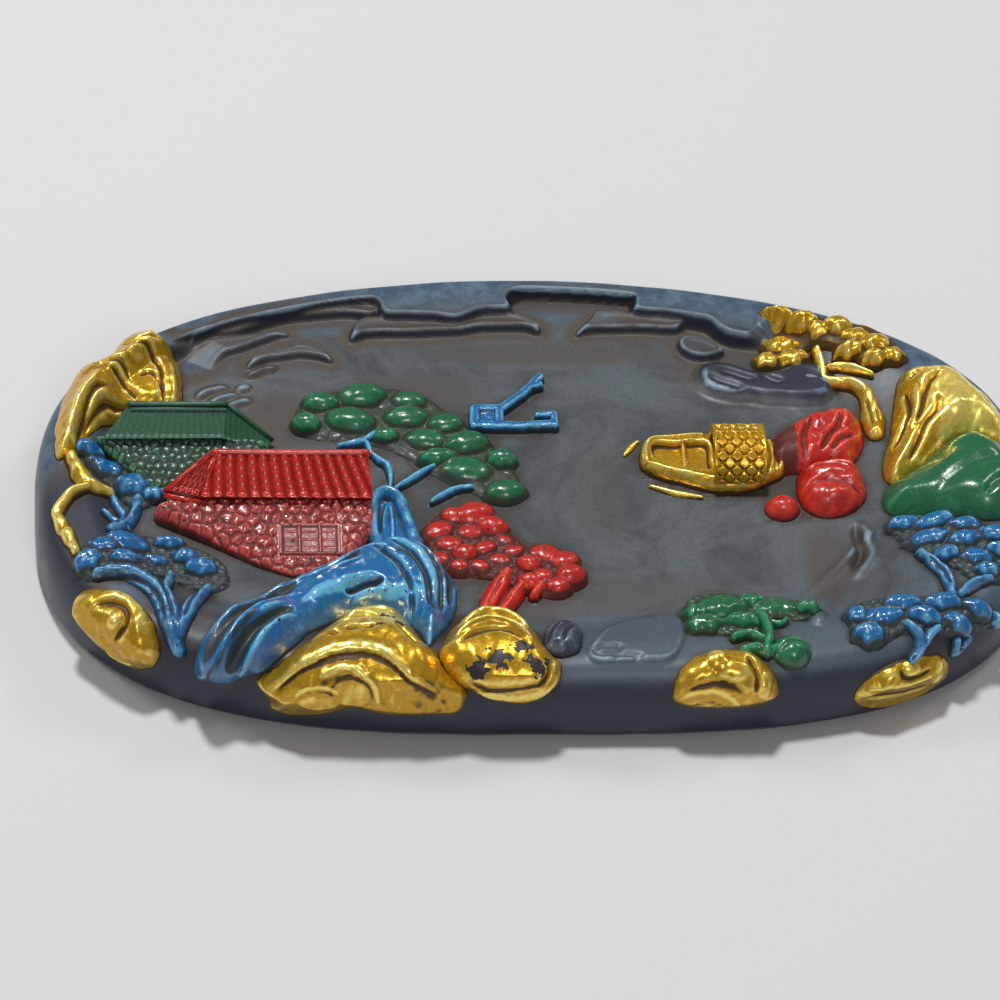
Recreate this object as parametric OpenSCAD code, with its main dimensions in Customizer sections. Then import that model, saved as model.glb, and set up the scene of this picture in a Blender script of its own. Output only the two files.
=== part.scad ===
// Oval ink stone with a painted landscape carved round its grinding bed.
// Millimetres. The origin is the middle of the underside, +X runs to the right along the
// stone, +Y to the back and +Z up.

/* [Stone] */
// Length of the stone, left to right
stone_length = 164; // [130:1:210]
// Width of the stone, front to back
stone_width = 91; // [78:1:120]
// Height of the grinding bed above the table
bed_height = 11; // [8:0.5:12]
// Height of the rim above the table
rim_height = 14; // [13.5:0.5:17]
// Height at which the side turns under to the flat base
turn_under_height = 2; // [1:0.25:3]
// How far the flat base stays inside the widest line, as a share of the reach
base_inset = 0.03; // [0.02:0.005:0.06]

/* [Clouds and water] */
// Height of the stepped cloud bands above the bed
cloud_rise = 2.4; // [1.5:0.1:3]
// Height of the water ripples
ripple_rise = 0.9; // [0.5:0.1:1.5]
// Half width of a water ripple
ripple_half_width = 0.9; // [0.6:0.1:1.2]
// Thickness of the flat shelf on the front bank
shelf_rise = 0.8; // [0.5:0.1:1.5]

/* [Red house] */
// Height of the red roof's ridge above the bed
red_ridge_height = 9; // [7.5:0.1:11]
// Height of the red roof's eave above the bed
red_eave_height = 4.6; // [3.8:0.1:5.5]
// Thickness of the red roof's eave
eave_thickness = 0.7; // [0.4:0.1:1.2]
// Number of tile rolls on the red roof
red_tile_rolls = 12; // [8:1:14]
// Radius of a tile roll
tile_roll_radius = 0.5; // [0.3:0.05:0.7]
// Radius of the roll along a roof's ridge
ridge_roll_radius = 0.6; // [0.4:0.05:0.9]
// Height of the foot of the red house's stone wall
wall_foot_height = 0.9; // [0.6:0.1:1.5]
// Width of the window
window_width = 9; // [7:0.5:10]
// Depth of the window along the wall
window_depth = 4.6; // [3.5:0.1:5]
// Width of the window's frame bars
window_bar = 0.7; // [0.4:0.1:1]

/* [Green hall] */
// Height of the green roof's ridge above the bed
green_ridge_height = 8; // [6.5:0.1:10]
// Height of the green roof's eave above the bed
green_eave_height = 4.7; // [3.8:0.1:5.5]
// Number of tile rolls on the green roof
green_tile_rolls = 9; // [6:1:10]

/* [Rocks] */
// Rise of the gold rock at the back left
back_left_rock_rise = 5; // [3:0.1:7]
// Rise of the gold rock at the front left
front_left_rock_rise = 3; // [2:0.1:4]
// Rise of the big gold rock at the front
front_centre_rock_rise = 4.2; // [3:0.1:6]
// Rise of the gold rock beside it
front_small_rock_rise = 3.6; // [2.5:0.1:5]
// Rise of the two small gold rocks at the front right
front_right_rock_rise = 2.6; // [1.5:0.1:3.5]
// Rise of the gold rock at the right
right_rock_rise = 4.6; // [3:0.1:6]
// Rise of the smooth green rock
green_rock_rise = 4.4; // [3:0.1:6]
// Rise of the long blue cliff
cliff_rise = 5.5; // [3.5:0.1:7]
// Rise of the red rocks beside the boat
red_rock_rise = 4.2; // [3:0.1:6]
// Rise of the unpainted dark stones
dark_stone_rise = 2.6; // [1.5:0.1:3.5]
// Height of the steep edge round a rock
rock_wall = 0.8; // [0.4:0.1:1.5]
// Depth of the grooves carved across the rocks
groove_depth = 0.35; // [0.1:0.05:0.6]

/* [Trees] */
// Height of the green pine's needle pads
pine_pad_rise = 3.4; // [2:0.1:5]
// Height of the other trees' leaf pads
leaf_pad_rise = 2.6; // [1.5:0.1:4]
// Height of the trunks and branches
branch_rise = 1.7; // [1:0.1:2.5]
// Half width of a thin branch
branch_half_width = 0.9; // [0.6:0.05:1.1]
// Half width of a trunk at its foot
trunk_half_width = 1.5; // [1.1:0.05:1.8]

/* [Boat and pier] */
// Height of the boat's deck above the bed
deck_height = 2.2; // [1.5:0.1:3]
// Radius of the boat's arched canopy
canopy_radius = 4.3; // [3.5:0.1:4.6]
// Length of the canopy
canopy_length = 8.6; // [7:0.1:9]
// How far the canopy's two end hoops stand proud
hoop_proud = 0.35; // [0.2:0.05:0.5]
// Width of the pier's bars
pier_bar = 1.3; // [0.9:0.1:1.5]
// Height of the pier's bars
pier_rise = 1.8; // [1:0.1:2.5]

/* [Clearances] */
// Gap between the stone and what is seated on it
seat_gap = 0.1; // [0.05:0.05:0.2]
// Gap between neighbouring pieces of a house
joint_gap = 0.3; // [0.2:0.05:0.4]

/* [Hidden] */

// The outlines below are drawn on a grid laid over the stone: 164 cells along it, 91 across.
cell = [stone_length / 164, stone_width / 91];
small_cell = min(cell.x, cell.y);

gold = [0.79, 0.63, 0.13];
red = [0.78, 0.16, 0.12];
wall_red = [0.5, 0.17, 0.15];
green = [0.09, 0.36, 0.23];
wash_green = [0.17, 0.25, 0.17];
blue = [0.12, 0.4, 0.75];
slate = [0.27, 0.31, 0.36];
dark_slate = [0.14, 0.16, 0.22];

slab_segments = 96;
spline_steps = 3;
edge_shares = [0.995, 0.97, 0.9, 0.78, 0.6, 0.35, 0];
slope_shares = [1, 0.75, 0.5, 0.25, 0];

// Inner edge of the rim by direction, as a share of the reach: 0 at the middle, 1 at the edge
bed_edges = [
    [-180, 0.86], [-150, 0.8], [-120, 0.74], [-92, 0.76], [-78, 0.77], [-60, 0.6],
    [-35, 0.62], [-20, 0.66], [-5, 0.7], [12, 0.72], [28, 0.74], [40, 0.88],
    [60, 0.89], [150, 0.89], [165, 0.87], [180, 0.86]
];
rim_shoulders = [
    [-180, 0.91], [-120, 0.84], [-90, 0.84], [-60, 0.83], [-20, 0.86], [12, 0.88],
    [45, 0.92], [150, 0.92], [180, 0.91]
];
rounding_starts = [[-180, 0.92], [-90, 0.86], [0, 0.91], [90, 0.94], [180, 0.92]];

// The oval is squarer along its front than along its back.
function squareness(a) = 2.6 - 0.5 * sin(a);
function edge_reach(a) =
    let (n = squareness(a))
    pow(pow(abs(cos(a)) * 2 / stone_length, n) + pow(abs(sin(a)) * 2 / stone_width, n), -1 / n);
function direction(p) = atan2(p.y, p.x);
function share(p) = norm(p) / edge_reach(direction(p));
function at_share(a, s) = edge_reach(a) * s * [cos(a), sin(a)];
function ease(t) = t * t * (3 - 2 * t);

// Roundness of the rim's outer edge: soft along the front, crisp along the back
function edge_roundness(a) = 3.8 + 1.4 * sin(a);
function rounded_z(a, t) =
    let (n = edge_roundness(a))
    turn_under_height + (rim_height - turn_under_height) * pow(1 - pow(t, n), 1 / n);

// Height of the stone's upper surface over a point of the plan
function top_z(p) =
    let (
        a = direction(p),
        s = min(share(p), 0.998),
        inner = lookup(a, bed_edges),
        shoulder = lookup(a, rim_shoulders),
        outer = lookup(a, rounding_starts)
    )
    s <= inner ? bed_height
    : s < shoulder ? bed_height + (rim_height - bed_height) * ease((s - inner) / (shoulder - inner))
    : s <= outer ? rim_height
    : rounded_z(a, (s - outer) / (1 - outer));

// Direction square to the stone's upper surface, from the slope over a short step
slope_step = 0.5;
function lean(p) =
    let (
        dx = (top_z(p + [slope_step, 0]) - top_z(p - [slope_step, 0])) / (2 * slope_step),
        dy = (top_z(p + [0, slope_step]) - top_z(p - [0, slope_step])) / (2 * slope_step),
        v = [-dx, -dy, 1]
    )
    v / norm(v);

function above(p, lift) = [p.x, p.y, top_z(p)] + lean(p) * (seat_gap + lift);
function drawn(p) = [p.x * cell.x, p.y * cell.y];

// Smooth curves through the drawn points
function spline(a, b, c, d, t) =
    0.5 * (2 * b + (c - a) * t + (2 * a - 5 * b + 4 * c - d) * t * t
    + (3 * b - a - 3 * c + d) * t * t * t);
function smooth_loop(points) =
    let (n = len(points))
    [
        for (i = [0 : n - 1], k = [0 : spline_steps - 1])
            spline(
                points[(i + n - 1) % n], points[i], points[(i + 1) % n],
                points[(i + 2) % n], k / spline_steps
            )
    ];
function smooth_path(points) =
    let (n = len(points))
    [
        for (i = [0 : n - 2], k = [0 : spline_steps - 1])
            spline(
                points[max(i - 1, 0)], points[i], points[i + 1],
                points[min(i + 2, n - 1)], k / spline_steps
            ),
        points[n - 1]
    ];
function total(points, i = 0) = i == len(points) ? points[0] * 0 : points[i] + total(points, i + 1);
function middle_of(points) = total(points) / len(points);
function doubled_area(points) =
    let (n = len(points))
    total([for (i = [0 : n - 1]) cross(points[i], points[(i + 1) % n])]);
function reversed(points) = [for (i = [len(points) - 1 : -1 : 0]) points[i]];
function leftwards(points) = doubled_area(points) < 0 ? reversed(points) : points;

// How high a rock stands over the stone at k of the way from its middle to its outline
function dome(rise, crown = 2.4) =
    function (p, k) rock_wall + (rise - rock_wall) * pow(1 - pow(k, crown), 1 / crown);
function grooved(rise, spacing, turn, crown = 2.4) =
    function (p, k)
        dome(rise, crown)(p, k)
        + (1 - k) * groove_depth
        * cos(360 * (p.x * cos(turn) + p.y * sin(turn)) / (spacing * small_cell));
function flat_top(height) =
    function (p, k) max(bed_height + height - top_z(p), rock_wall / 2);
function bank_height(y, high_y, high, low_y, low) = low + (high - low) * (y - low_y) / (high_y - low_y);
function bank(high_y, high, low_y, low) =
    function (p, k) bank_height(p.y, drawn([0, high_y]).y, high, drawn([0, low_y]).y, low);

// A solid whose skin runs through a row of closed rings
module loft(rings) {
    n = len(rings[0]);
    last = (len(rings) - 1) * n;
    sides = [
        for (r = [0 : len(rings) - 2], i = [0 : n - 1])
            let (j = (i + 1) % n)
            each [
                [r * n + i, (r + 1) * n + j, r * n + j],
                [r * n + i, (r + 1) * n + i, (r + 1) * n + j]
            ]
    ];
    first_cap = [for (i = [1 : n - 2]) [0, i, i + 1]];
    last_cap = [for (i = [1 : n - 2]) [last, last + i + 1, last + i]];
    polyhedron([for (ring = rings) each ring], concat(sides, first_cap, last_cap), convexity = 10);
}

// A rock or other closed shape, seated on the stone
module mound(outline, lift) {
    curve = leftwards(smooth_loop([for (p = outline) drawn(p)]));
    centre = middle_of(curve);
    under = [
        for (k = [0.06, 0.4, 0.75, 1])
            [for (p = curve) above(centre + (p - centre) * k, 0)]
    ];
    over = [
        for (k = [1, 0.93, 0.8, 0.6, 0.35, 0.06])
            [for (p = curve) let (q = centre + (p - centre) * k) above(q, lift(q, k))]
    ];
    loft(concat(under, over));
}

// A long ridge, such as a branch or a wave, seated on the stone along a drawn path
module ridge(path, half_widths, rise) {
    line = smooth_path([for (p = path) drawn(p)]);
    widths = smooth_path([for (w = half_widths) [w, 0]]);
    n = len(line);
    across = [1, 0.6, 0.2, -0.2, -0.6, -1];
    rings = [
        for (i = [0 : n - 1])
            let (
                step = line[min(i + 1, n - 1)] - line[max(i - 1, 0)],
                side = [-step.y, step.x] / norm(step),
                w = widths[i].x
            )
            concat(
                [for (t = across) above(line[i] + side * w * t, rise * (1.15 - t * t) / 1.15)],
                [for (t = [-1, -0.33, 0.33, 1]) above(line[i] + side * w * t, 0)]
            )
    ];
    loft(rings);
}

// A round pad of leaves with a low foot, set square to the stone; its radius is in cells
pad_foot = 0.35;
module pad(p, cells, rise) {
    q = drawn(p);
    radius = cells * small_cell;
    up = lean(q);
    profile = [
        [0, 0], [radius * 0.9, 0],
        for (a = [0 : 15 : 90])
            [radius * cos(a), rise * (pad_foot + (1 - pad_foot) * sin(a))]
    ];
    translate([q.x, q.y, top_z(q)])
        rotate([0, acos(up.z), atan2(up.y, up.x)])
            translate([0, 0, seat_gap])
                rotate_extrude($fn = 32) polygon(profile);
}
module pads(list, rise) {
    for (item = list) pad([item[0], item[1]], item[2], rise);
}

// A straight bar from one drawn point to another
module bar(from, to, width, height) {
    a = drawn(from);
    b = drawn(to);
    translate([a.x, a.y, bed_height + seat_gap])
        rotate([0, 0, atan2(b.y - a.y, b.x - a.x)])
            translate([0, -width / 2, 0])
                cube([norm(b - a), width, height]);
}

// Places across a house are given in the drawing and follow the stone's width.
function across(y) = drawn([0, y]).y;
function along(x) = drawn([x, 0]).x;

// A roof's cross-section runs along X: outline points are across the house and up.
module roof_solid(x1, x2, outline) {
    translate([along(x1), 0, 0])
        rotate([90, 0, 90])
            linear_extrude(along(x2) - along(x1))
                polygon([for (p = outline) [across(p[0]), p[1]]]);
}

// Tile rolls from the ridge down to the eave
module tile_rolls(x1, x2, count, ridge_y, ridge_z, eave_y, eave_z) {
    run = across(ridge_y) - across(eave_y);
    fall = ridge_z - eave_z;
    for (i = [0 : count - 1])
        translate([along(x1 + (x2 - x1) * (i + 0.5) / count), across(eave_y), eave_z])
            rotate([-atan2(run, fall), 0, 0])
                cylinder(h = norm([run, fall]), r = tile_roll_radius, $fn = 24);
}

// Places of the two houses in the drawing
red_x1 = -52.4;
red_x2 = -28.6;
red_ridge_y = -1.3;
red_eave_y = -7.1;
red_back_y = 1;
red_wall_y = -6.4;
red_foot_y = -20.5;
green_x1 = -67;
green_x2 = -52.4;
green_ridge_y = 10.2;
green_eave_y = 6.1;
green_back_y = 11.4;
green_foot_y = 2.2;

bed_seat = bed_height + seat_gap;
red_ridge_z = bed_height + red_ridge_height;
red_eave_z = bed_height + red_eave_height;
red_wall_height = red_eave_height - eave_thickness - joint_gap;
green_ridge_z = bed_height + green_ridge_height;
green_eave_z = bed_height + green_eave_height;
green_wall_height = green_eave_height - eave_thickness - joint_gap;

module stone_slab() {
    angles = [for (i = [0 : slab_segments - 1]) i * 360 / slab_segments - 180];
    under = [
        for (s = [0.02, 0.5, 1 - base_inset])
            [for (a = angles) let (p = at_share(a, s)) [p.x, p.y, 0]]
    ];
    turn = [
        for (t = [0.35, 1])
            [
                for (a = angles)
                    let (p = at_share(a, 1 - base_inset * pow(1 - t, 2)))
                    [p.x, p.y, turn_under_height * t]
            ]
    ];
    edge = [
        for (t = edge_shares)
            [
                for (a = angles)
                    let (outer = lookup(a, rounding_starts), p = at_share(a, outer + (1 - outer) * t))
                    [p.x, p.y, rounded_z(a, t)]
            ]
    ];
    slope = [
        for (t = slope_shares)
            [
                for (a = angles)
                    let (
                        inner = lookup(a, bed_edges),
                        p = at_share(a, inner + (lookup(a, rim_shoulders) - inner) * t)
                    )
                    [p.x, p.y, bed_height + (rim_height - bed_height) * ease(t)]
            ]
    ];
    bed = [
        for (t = [0.6, 0.02])
            [for (a = angles) let (p = at_share(a, lookup(a, bed_edges) * t)) [p.x, p.y, bed_height]]
    ];
    color(slate) loft(concat(under, turn, edge, slope, bed));
}

module front_shelf() {
    color(slate)
        mound(
            [
                [6, -33.5], [8.5, -30.5], [14, -28], [19.3, -27.6], [19.3, -32],
                [18.6, -36.3], [13, -36.5], [7.5, -35.8]
            ],
            function (p, k) shelf_rise
        );
}

module cloud_step_left() {
    color(slate)
        mound(
            [
                [-24.4, 39.3], [-24.2, 35.6], [-12, 35.9], [1.5, 35.2], [3, 36.6],
                [0.4, 38.2], [0.6, 39.8], [-10, 40.2], [-18, 39.8]
            ],
            flat_top(cloud_rise)
        );
}

module cloud_step_right() {
    w = 1.6 * ripple_half_width;
    color(slate)
        ridge(
            [[13.4, 36.4], [18.2, 38.5], [25, 37.8], [31, 35.2], [36, 32.2]],
            [w / 2, w, w, w, w / 2], cloud_rise / 2
        );
}

module cloud_curl() {
    w = ripple_half_width;
    color(slate) ridge([[5, 39], [8.5, 40], [11.5, 39], [13.2, 38.6]], [w / 2, w, w, w / 2], cloud_rise / 2);
}

module cloud_blob() {
    color(slate)
        mound(
            [[25.6, 31.2], [28.6, 32.6], [32, 31.3], [34.8, 29.3], [33.5, 27.9], [28.4, 27.9]],
            dome(cloud_rise, 4)
        );
}

module cloud_block() {
    color(dark_slate)
        mound(
            [
                [28.6, 23], [31, 26], [36, 25.3], [40, 22.6], [46.4, 22], [46.6, 19],
                [40, 18], [33.5, 19.4], [29.2, 20.8]
            ],
            dome(cloud_rise, 6)
        );
}

module water_ripple_upper() {
    w = ripple_half_width;
    color(slate) {
        ridge([[-56, 24.6], [-51.8, 28], [-46, 30.6], [-40.4, 32.6]], [w / 2, w, w, w / 3], ripple_rise);
        ridge([[-50, 24.8], [-44.5, 27.6], [-38.5, 29], [-33, 29]], [w / 2, w, w, w / 3], ripple_rise);
    }
}

module water_ripple_lower() {
    w = ripple_half_width;
    color(slate) {
        ridge([[-54.6, 18.9], [-51.6, 21.3], [-48, 22.8]], [w / 2, w, w / 3], ripple_rise);
        ridge([[-51.2, 17.2], [-48.6, 19], [-45.8, 20.4]], [w / 2, w, w / 3], ripple_rise);
    }
}

module dark_boulder() {
    color(dark_slate)
        mound(
            [[-0.6, -33], [0.6, -31], [3, -30.6], [4.4, -32.4], [3.6, -34.8], [1, -35.2]],
            dome(dark_stone_rise)
        );
}

module dark_stone_small() {
    color(dark_slate) pad([5.8, -20.8], 1.2, dark_stone_rise / 2);
}

module gold_rock_back_left() {
    color(gold)
        mound(
            [
                [-76.5, 3.5], [-78.3, 9], [-76, 17], [-71, 23.5], [-66, 28], [-61, 29.5],
                [-58, 25], [-57.2, 17], [-59.5, 13], [-66.6, 12.8], [-70.6, 9.4], [-73.6, 5]
            ],
            grooved(back_left_rock_rise, 5.5, 30)
        );
}

module gold_rock_front_left() {
    color(gold)
        mound(
            [
                [-75, -21.3], [-70, -21.6], [-66, -24.5], [-63.5, -28.5], [-62.4, -32],
                [-63.8, -34], [-68, -31.5], [-72.5, -27]
            ],
            grooved(front_left_rock_rise, 5, 60)
        );
}

module gold_rock_front_centre() {
    color(gold)
        mound(
            [
                [-46.2, -38.4], [-40, -33.7], [-34, -31], [-28, -30.8], [-24, -33],
                [-20.6, -36.6], [-17.6, -40], [-15.4, -43], [-24, -44], [-36, -42.9], [-43.8, -41]
            ],
            grooved(front_centre_rock_rise, 7, 100)
        );
}

module gold_rock_front_small() {
    color(gold)
        mound(
            [
                [-18, -36.2], [-14.6, -32], [-9.5, -30.4], [-4, -33], [-0.4, -38],
                [0.2, -42.4], [-4, -44], [-11, -43.8], [-13.8, -41], [-16.4, -38.6]
            ],
            grooved(front_small_rock_rise, 4.5, 75)
        );
}

module gold_rock_front_mid() {
    color(gold)
        mound(
            [
                [19.6, -41.4], [22.5, -38.7], [28, -37.2], [32.6, -38.6], [35.2, -41],
                [33.2, -42.9], [27, -43.6], [21, -43]
            ],
            grooved(front_right_rock_rise, 4, 80)
        );
}

module gold_rock_front_right() {
    color(gold)
        mound(
            [
                [48.6, -39.8], [52.5, -37.5], [57.5, -36.2], [61, -34.9], [62.5, -35],
                [60.6, -36.8], [56, -38.9], [50.6, -40.6]
            ],
            grooved(front_right_rock_rise, 4, 110)
        );
}

module gold_rock_right() {
    color(gold)
        mound(
            [
                [57.8, -1], [58.6, 6], [60, 14], [61.5, 19.6], [66, 22], [71, 21],
                [75.5, 15.4], [77.8, 8.6], [75.5, 7.4], [71, 8.4], [66, 6.2], [61.4, 2]
            ],
            grooved(right_rock_rise, 5, 20)
        );
}

module gold_branch_left() {
    w = branch_half_width;
    color(gold) {
        ridge([[-75.3, 1.6], [-73.8, -1.2], [-71.2, -3.4]], [w, w, w / 2], branch_rise);
        ridge(
            [[-74.2, -4.2], [-77, -5.4], [-77.9, -8.6], [-77, -12], [-75.4, -15.4]],
            [w / 2, w, w, w, w / 2], branch_rise
        );
    }
}

module gold_pine_foliage() {
    color(gold)
        pads(
            [
                [41.2, 33.6, 2.4], [46.4, 33.2, 2.2], [44.6, 28.8, 2.3], [43.2, 25, 1.4],
                [51.2, 32, 2.4], [54.2, 27.6, 2.3], [56.6, 30.6, 1.4], [59.2, 25.8, 2.3]
            ],
            leaf_pad_rise
        );
}

module gold_pine_trunk() {
    w = branch_half_width;
    color(gold)
        ridge(
            [[49, 28], [49.4, 23.6], [52.8, 21.6], [56, 19.4], [57.2, 15], [56.8, 11.8]],
            [w, w, w, w, trunk_half_width, trunk_half_width], branch_rise
        );
}

module green_hall_roof() {
    color(green) {
        roof_solid(
            green_x1, green_x2,
            [
                [green_back_y, bed_seat], [green_eave_y + 0.5, bed_seat],
                [green_eave_y + 0.5, green_eave_z - eave_thickness],
                [green_eave_y, green_eave_z - eave_thickness], [green_eave_y, green_eave_z],
                [green_ridge_y, green_ridge_z], [green_back_y, green_eave_z]
            ]
        );
        tile_rolls(
            green_x1, green_x2, green_tile_rolls, green_ridge_y, green_ridge_z,
            green_eave_y, green_eave_z
        );
        translate([along(green_x1), across(green_ridge_y), green_ridge_z])
            rotate([0, 90, 0])
                cylinder(h = along(green_x2) - along(green_x1), r = ridge_roll_radius, $fn = 24);
    }
}

// The sloping end of the green roof, which runs down to the bed
module green_hall_hip() {
    near_x = along(green_x2) + joint_gap;
    far_x = along(-44);
    low_z = bed_height + 1;
    plan = [
        [near_x, across(green_ridge_y)], [near_x, across(green_eave_y)],
        [far_x, across(green_eave_y)], [far_x, across(9.2)], [near_x, across(green_back_y)]
    ];
    heights = [green_ridge_z, green_eave_z, low_z, low_z, green_eave_z];
    color(green)
        loft([
            [for (p = plan) [p.x, p.y, bed_seat]],
            [for (i = [0 : 4]) [plan[i].x, plan[i].y, heights[i]]]
        ]);
}

module green_hall_wall() {
    color(wash_green)
        mound(
            [[-67, 2.8], [-67, 5.6], [-57, 5.8], [-49, 5.8], [-46.4, 4.4], [-50, 2.6], [-58, 2.3]],
            bank(green_eave_y, green_wall_height, green_foot_y, wall_foot_height)
        );
}

module green_pine_foliage() {
    color(green)
        pads(
            [
                [-35.6, 16.4, 2.3], [-28.6, 18, 3], [-20.9, 17.3, 2.5], [-31, 12.2, 3],
                [-23.2, 12.4, 2.8], [-36.8, 11.6, 2], [-16.2, 12.4, 2.3], [-18.4, 7.4, 2.6],
                [-12, 7.6, 2.9], [-12.6, 1.6, 2.8], [-6.8, 4, 2.6], [-5.8, -2.2, 2.5]
            ],
            pine_pad_rise
        );
}

module green_rock_right() {
    color(green)
        mound(
            [
                [56.2, -8.4], [58.6, -4.4], [63, 0.4], [67.5, 4], [72, 6.4], [76.6, 3],
                [78.6, -3], [77, -8.8], [71, -10], [63, -9.6]
            ],
            dome(green_rock_rise, 2)
        );
}

module green_tree_foliage() {
    color(green)
        pads(
            [
                [24, -28, 2.8], [30, -27.2, 2.7], [36, -27.6, 2.7], [40.8, -29.2, 1.8],
                [23.4, -33.2, 2], [28.2, -32.2, 2.1]
            ],
            leaf_pad_rise
        );
}

module green_tree_trunk() {
    w = branch_half_width;
    color(wash_green) ridge([[34, -31.6], [33.4, -34], [32.6, -36.2]], [w, w, w], branch_rise);
}

module green_boulder() {
    color(green)
        mound(
            [
                [36.8, -38.6], [37.9, -36.4], [40.5, -36.1], [42.6, -38], [41.9, -40.3],
                [39.5, -40.9], [37.5, -40.4]
            ],
            dome(front_right_rock_rise)
        );
}

module red_house_roof() {
    color(red) {
        roof_solid(
            red_x1, red_x2,
            [
                [red_back_y, bed_seat], [red_wall_y + 0.2, bed_seat],
                [red_wall_y + 0.2, red_eave_z - eave_thickness],
                [red_eave_y, red_eave_z - eave_thickness], [red_eave_y, red_eave_z],
                [red_ridge_y, red_ridge_z], [red_back_y, red_eave_z]
            ]
        );
        tile_rolls(
            red_x1, red_x2, red_tile_rolls, red_ridge_y, red_ridge_z, red_eave_y, red_eave_z
        );
        translate([along(red_x1), across(red_ridge_y), red_ridge_z])
            rotate([0, 90, 0])
                cylinder(h = along(red_x2) - along(red_x1), r = ridge_roll_radius, $fn = 24);
    }
}

// The triangular end of the red house, which faces front and left
module red_house_gable() {
    near_x = along(red_x1) - joint_gap;
    plan = [
        [near_x, across(red_ridge_y)], [near_x, across(red_back_y)],
        [along(-60.8), across(-5.6)], [along(-57), across(-6.9)], [near_x, across(-6.6)]
    ];
    heights = [red_ridge_z, red_eave_z, red_eave_z, red_eave_z, red_eave_z];
    color(red)
        loft([
            [for (p = plan) [p.x, p.y, bed_seat]],
            [for (i = [0 : 4]) [plan[i].x, plan[i].y, heights[i]]]
        ]);
}

module red_house_wall() {
    color(wall_red)
        mound(
            [
                [-62.4, -8.4], [-58, -7.6], [-50, -7.2], [-38, -7.2], [-29, -7.4], [-28.8, -12],
                [-32, -16], [-38, -19.6], [-46, -20], [-55, -15.6], [-62.2, -11]
            ],
            bank(red_eave_y, red_wall_height, red_foot_y, wall_foot_height)
        );
}

// The window lies on the sloping wall, square to it
module red_house_window() {
    run = across(red_eave_y) - across(red_foot_y);
    tilt = atan2(red_wall_height - wall_foot_height, run);
    y = across(-14.2);
    z = bank_height(y, across(red_eave_y), red_wall_height, across(red_foot_y), wall_foot_height);
    color(red)
        translate([along(-38), y, bed_height + z + 2 * seat_gap])
            rotate([tilt, 0, 0])
                linear_extrude(window_bar)
                    difference() {
                        square([window_width, window_depth], center = true);
                        for (i = [-1, 0, 1])
                            translate([i * (window_width - window_bar) / 3, 0])
                                square(
                                    [
                                        (window_width - window_bar) / 3 - window_bar,
                                        window_depth - 2 * window_bar
                                    ],
                                    center = true
                                );
                    }
}

module red_tree_foliage() {
    color(red)
        pads(
            [
                [-17.2, -10, 2], [-12.6, -7.2, 2.3], [-8, -10.2, 2], [-12.6, -12.1, 2.1],
                [-16.4, -15, 1.9], [-7.8, -14.6, 2], [-12, -16.8, 1.9], [-3.7, -17, 2],
                [0.6, -18.4, 1.9], [-8.2, -18.6, 1.5], [2.4, -22.2, 1.5], [-1.6, -21.4, 1.7]
            ],
            leaf_pad_rise
        );
}

module red_tree_trunk() {
    w = trunk_half_width;
    color(red) {
        ridge([[-7.2, -21.6], [-8.4, -24.4], [-9.2, -27.6]], [w / 2, w, w / 2], branch_rise);
        ridge([[-4.2, -24], [-4.8, -26.4], [-5.6, -28.8]], [w / 2, w, w / 2], branch_rise);
    }
}

module red_rock_back() {
    color(red)
        mound(
            [
                [40.6, 5.6], [42, 9.4], [46.5, 12.4], [51.2, 13.6], [54, 11.8], [53.6, 8],
                [49.5, 6], [45, 4.8]
            ],
            grooved(red_rock_rise, 6, 50)
        );
}

module red_rock_front() {
    color(red)
        mound(
            [
                [44.4, 2.6], [49, 3.8], [53, 5.2], [54, 1], [52.8, -4.8], [49.5, -8.2],
                [45, -7.8], [43.6, -3]
            ],
            grooved(red_rock_rise, 7, 110)
        );
}

module red_rock_small() {
    color(red)
        mound(
            [[36.2, -5.4], [37.4, -3.2], [40.2, -2.8], [42.4, -4.6], [41.8, -7.4], [38.4, -7.8]],
            dome(red_rock_rise * 0.7)
        );
}

module blue_cliff() {
    color(blue)
        ridge(
            [
                [-54.5, -38.4], [-49, -35], [-41.5, -28.6], [-34.5, -23.6], [-27, -19.8],
                [-21.6, -21.4], [-18, -27.6]
            ],
            [1.4, 3, 3.7, 3.9, 4, 3.6, 1.6], cliff_rise
        );
}

module blue_cliff_loop() {
    w = branch_half_width;
    color(blue)
        ridge(
            [
                [-25.8, -13.6], [-26.7, -8.6], [-26.5, -4.6], [-24.6, -2.9], [-22.8, -4.8],
                [-22, -8.6], [-21.6, -13.6]
            ],
            [w, w, w, w, w, w, w], branch_rise
        );
}

module blue_pine_branches() {
    w = branch_half_width;
    color(blue) {
        ridge(
            [[-31.4, 7.6], [-28.4, 7.4], [-26.2, 5], [-24.8, 2.4], [-24.4, -0.4]],
            [w / 2, w, w, w, w], branch_rise
        );
        ridge([[-22.6, -1.4], [-20.4, 0], [-17.2, 2.6]], [w, w, w / 2], branch_rise);
    }
}

module blue_pier_frame() {
    w = pier_bar;
    h = pier_rise;
    color(blue) {
        bar([-10.4, 15.4], [-4.6, 15.4], w, h);
        bar([-10.4, 12.2], [3.4, 12.2], w, h);
        bar([-9.7, 12], [-9.7, 15.6], w, h);
        bar([-5.3, 12], [-5.3, 15.6], w, h);
        bar([-5.3, 15.2], [2.2, 22], w, h);
        bar([2.8, 11.9], [2.8, 14.4], w, h);
    }
}

module blue_tree_left_foliage() {
    color(blue)
        pads(
            [[-71, 4.6, 2.1], [-69.4, -0.2, 2], [-65.8, -3.2, 2], [-63, -0.2, 1.2]],
            leaf_pad_rise
        );
}

module blue_tree_left_trunk() {
    w = branch_half_width;
    color(blue) ridge([[-65.2, -6.4], [-66.8, -9], [-68.8, -11.8]], [w, w, w / 2], branch_rise);
}

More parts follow.
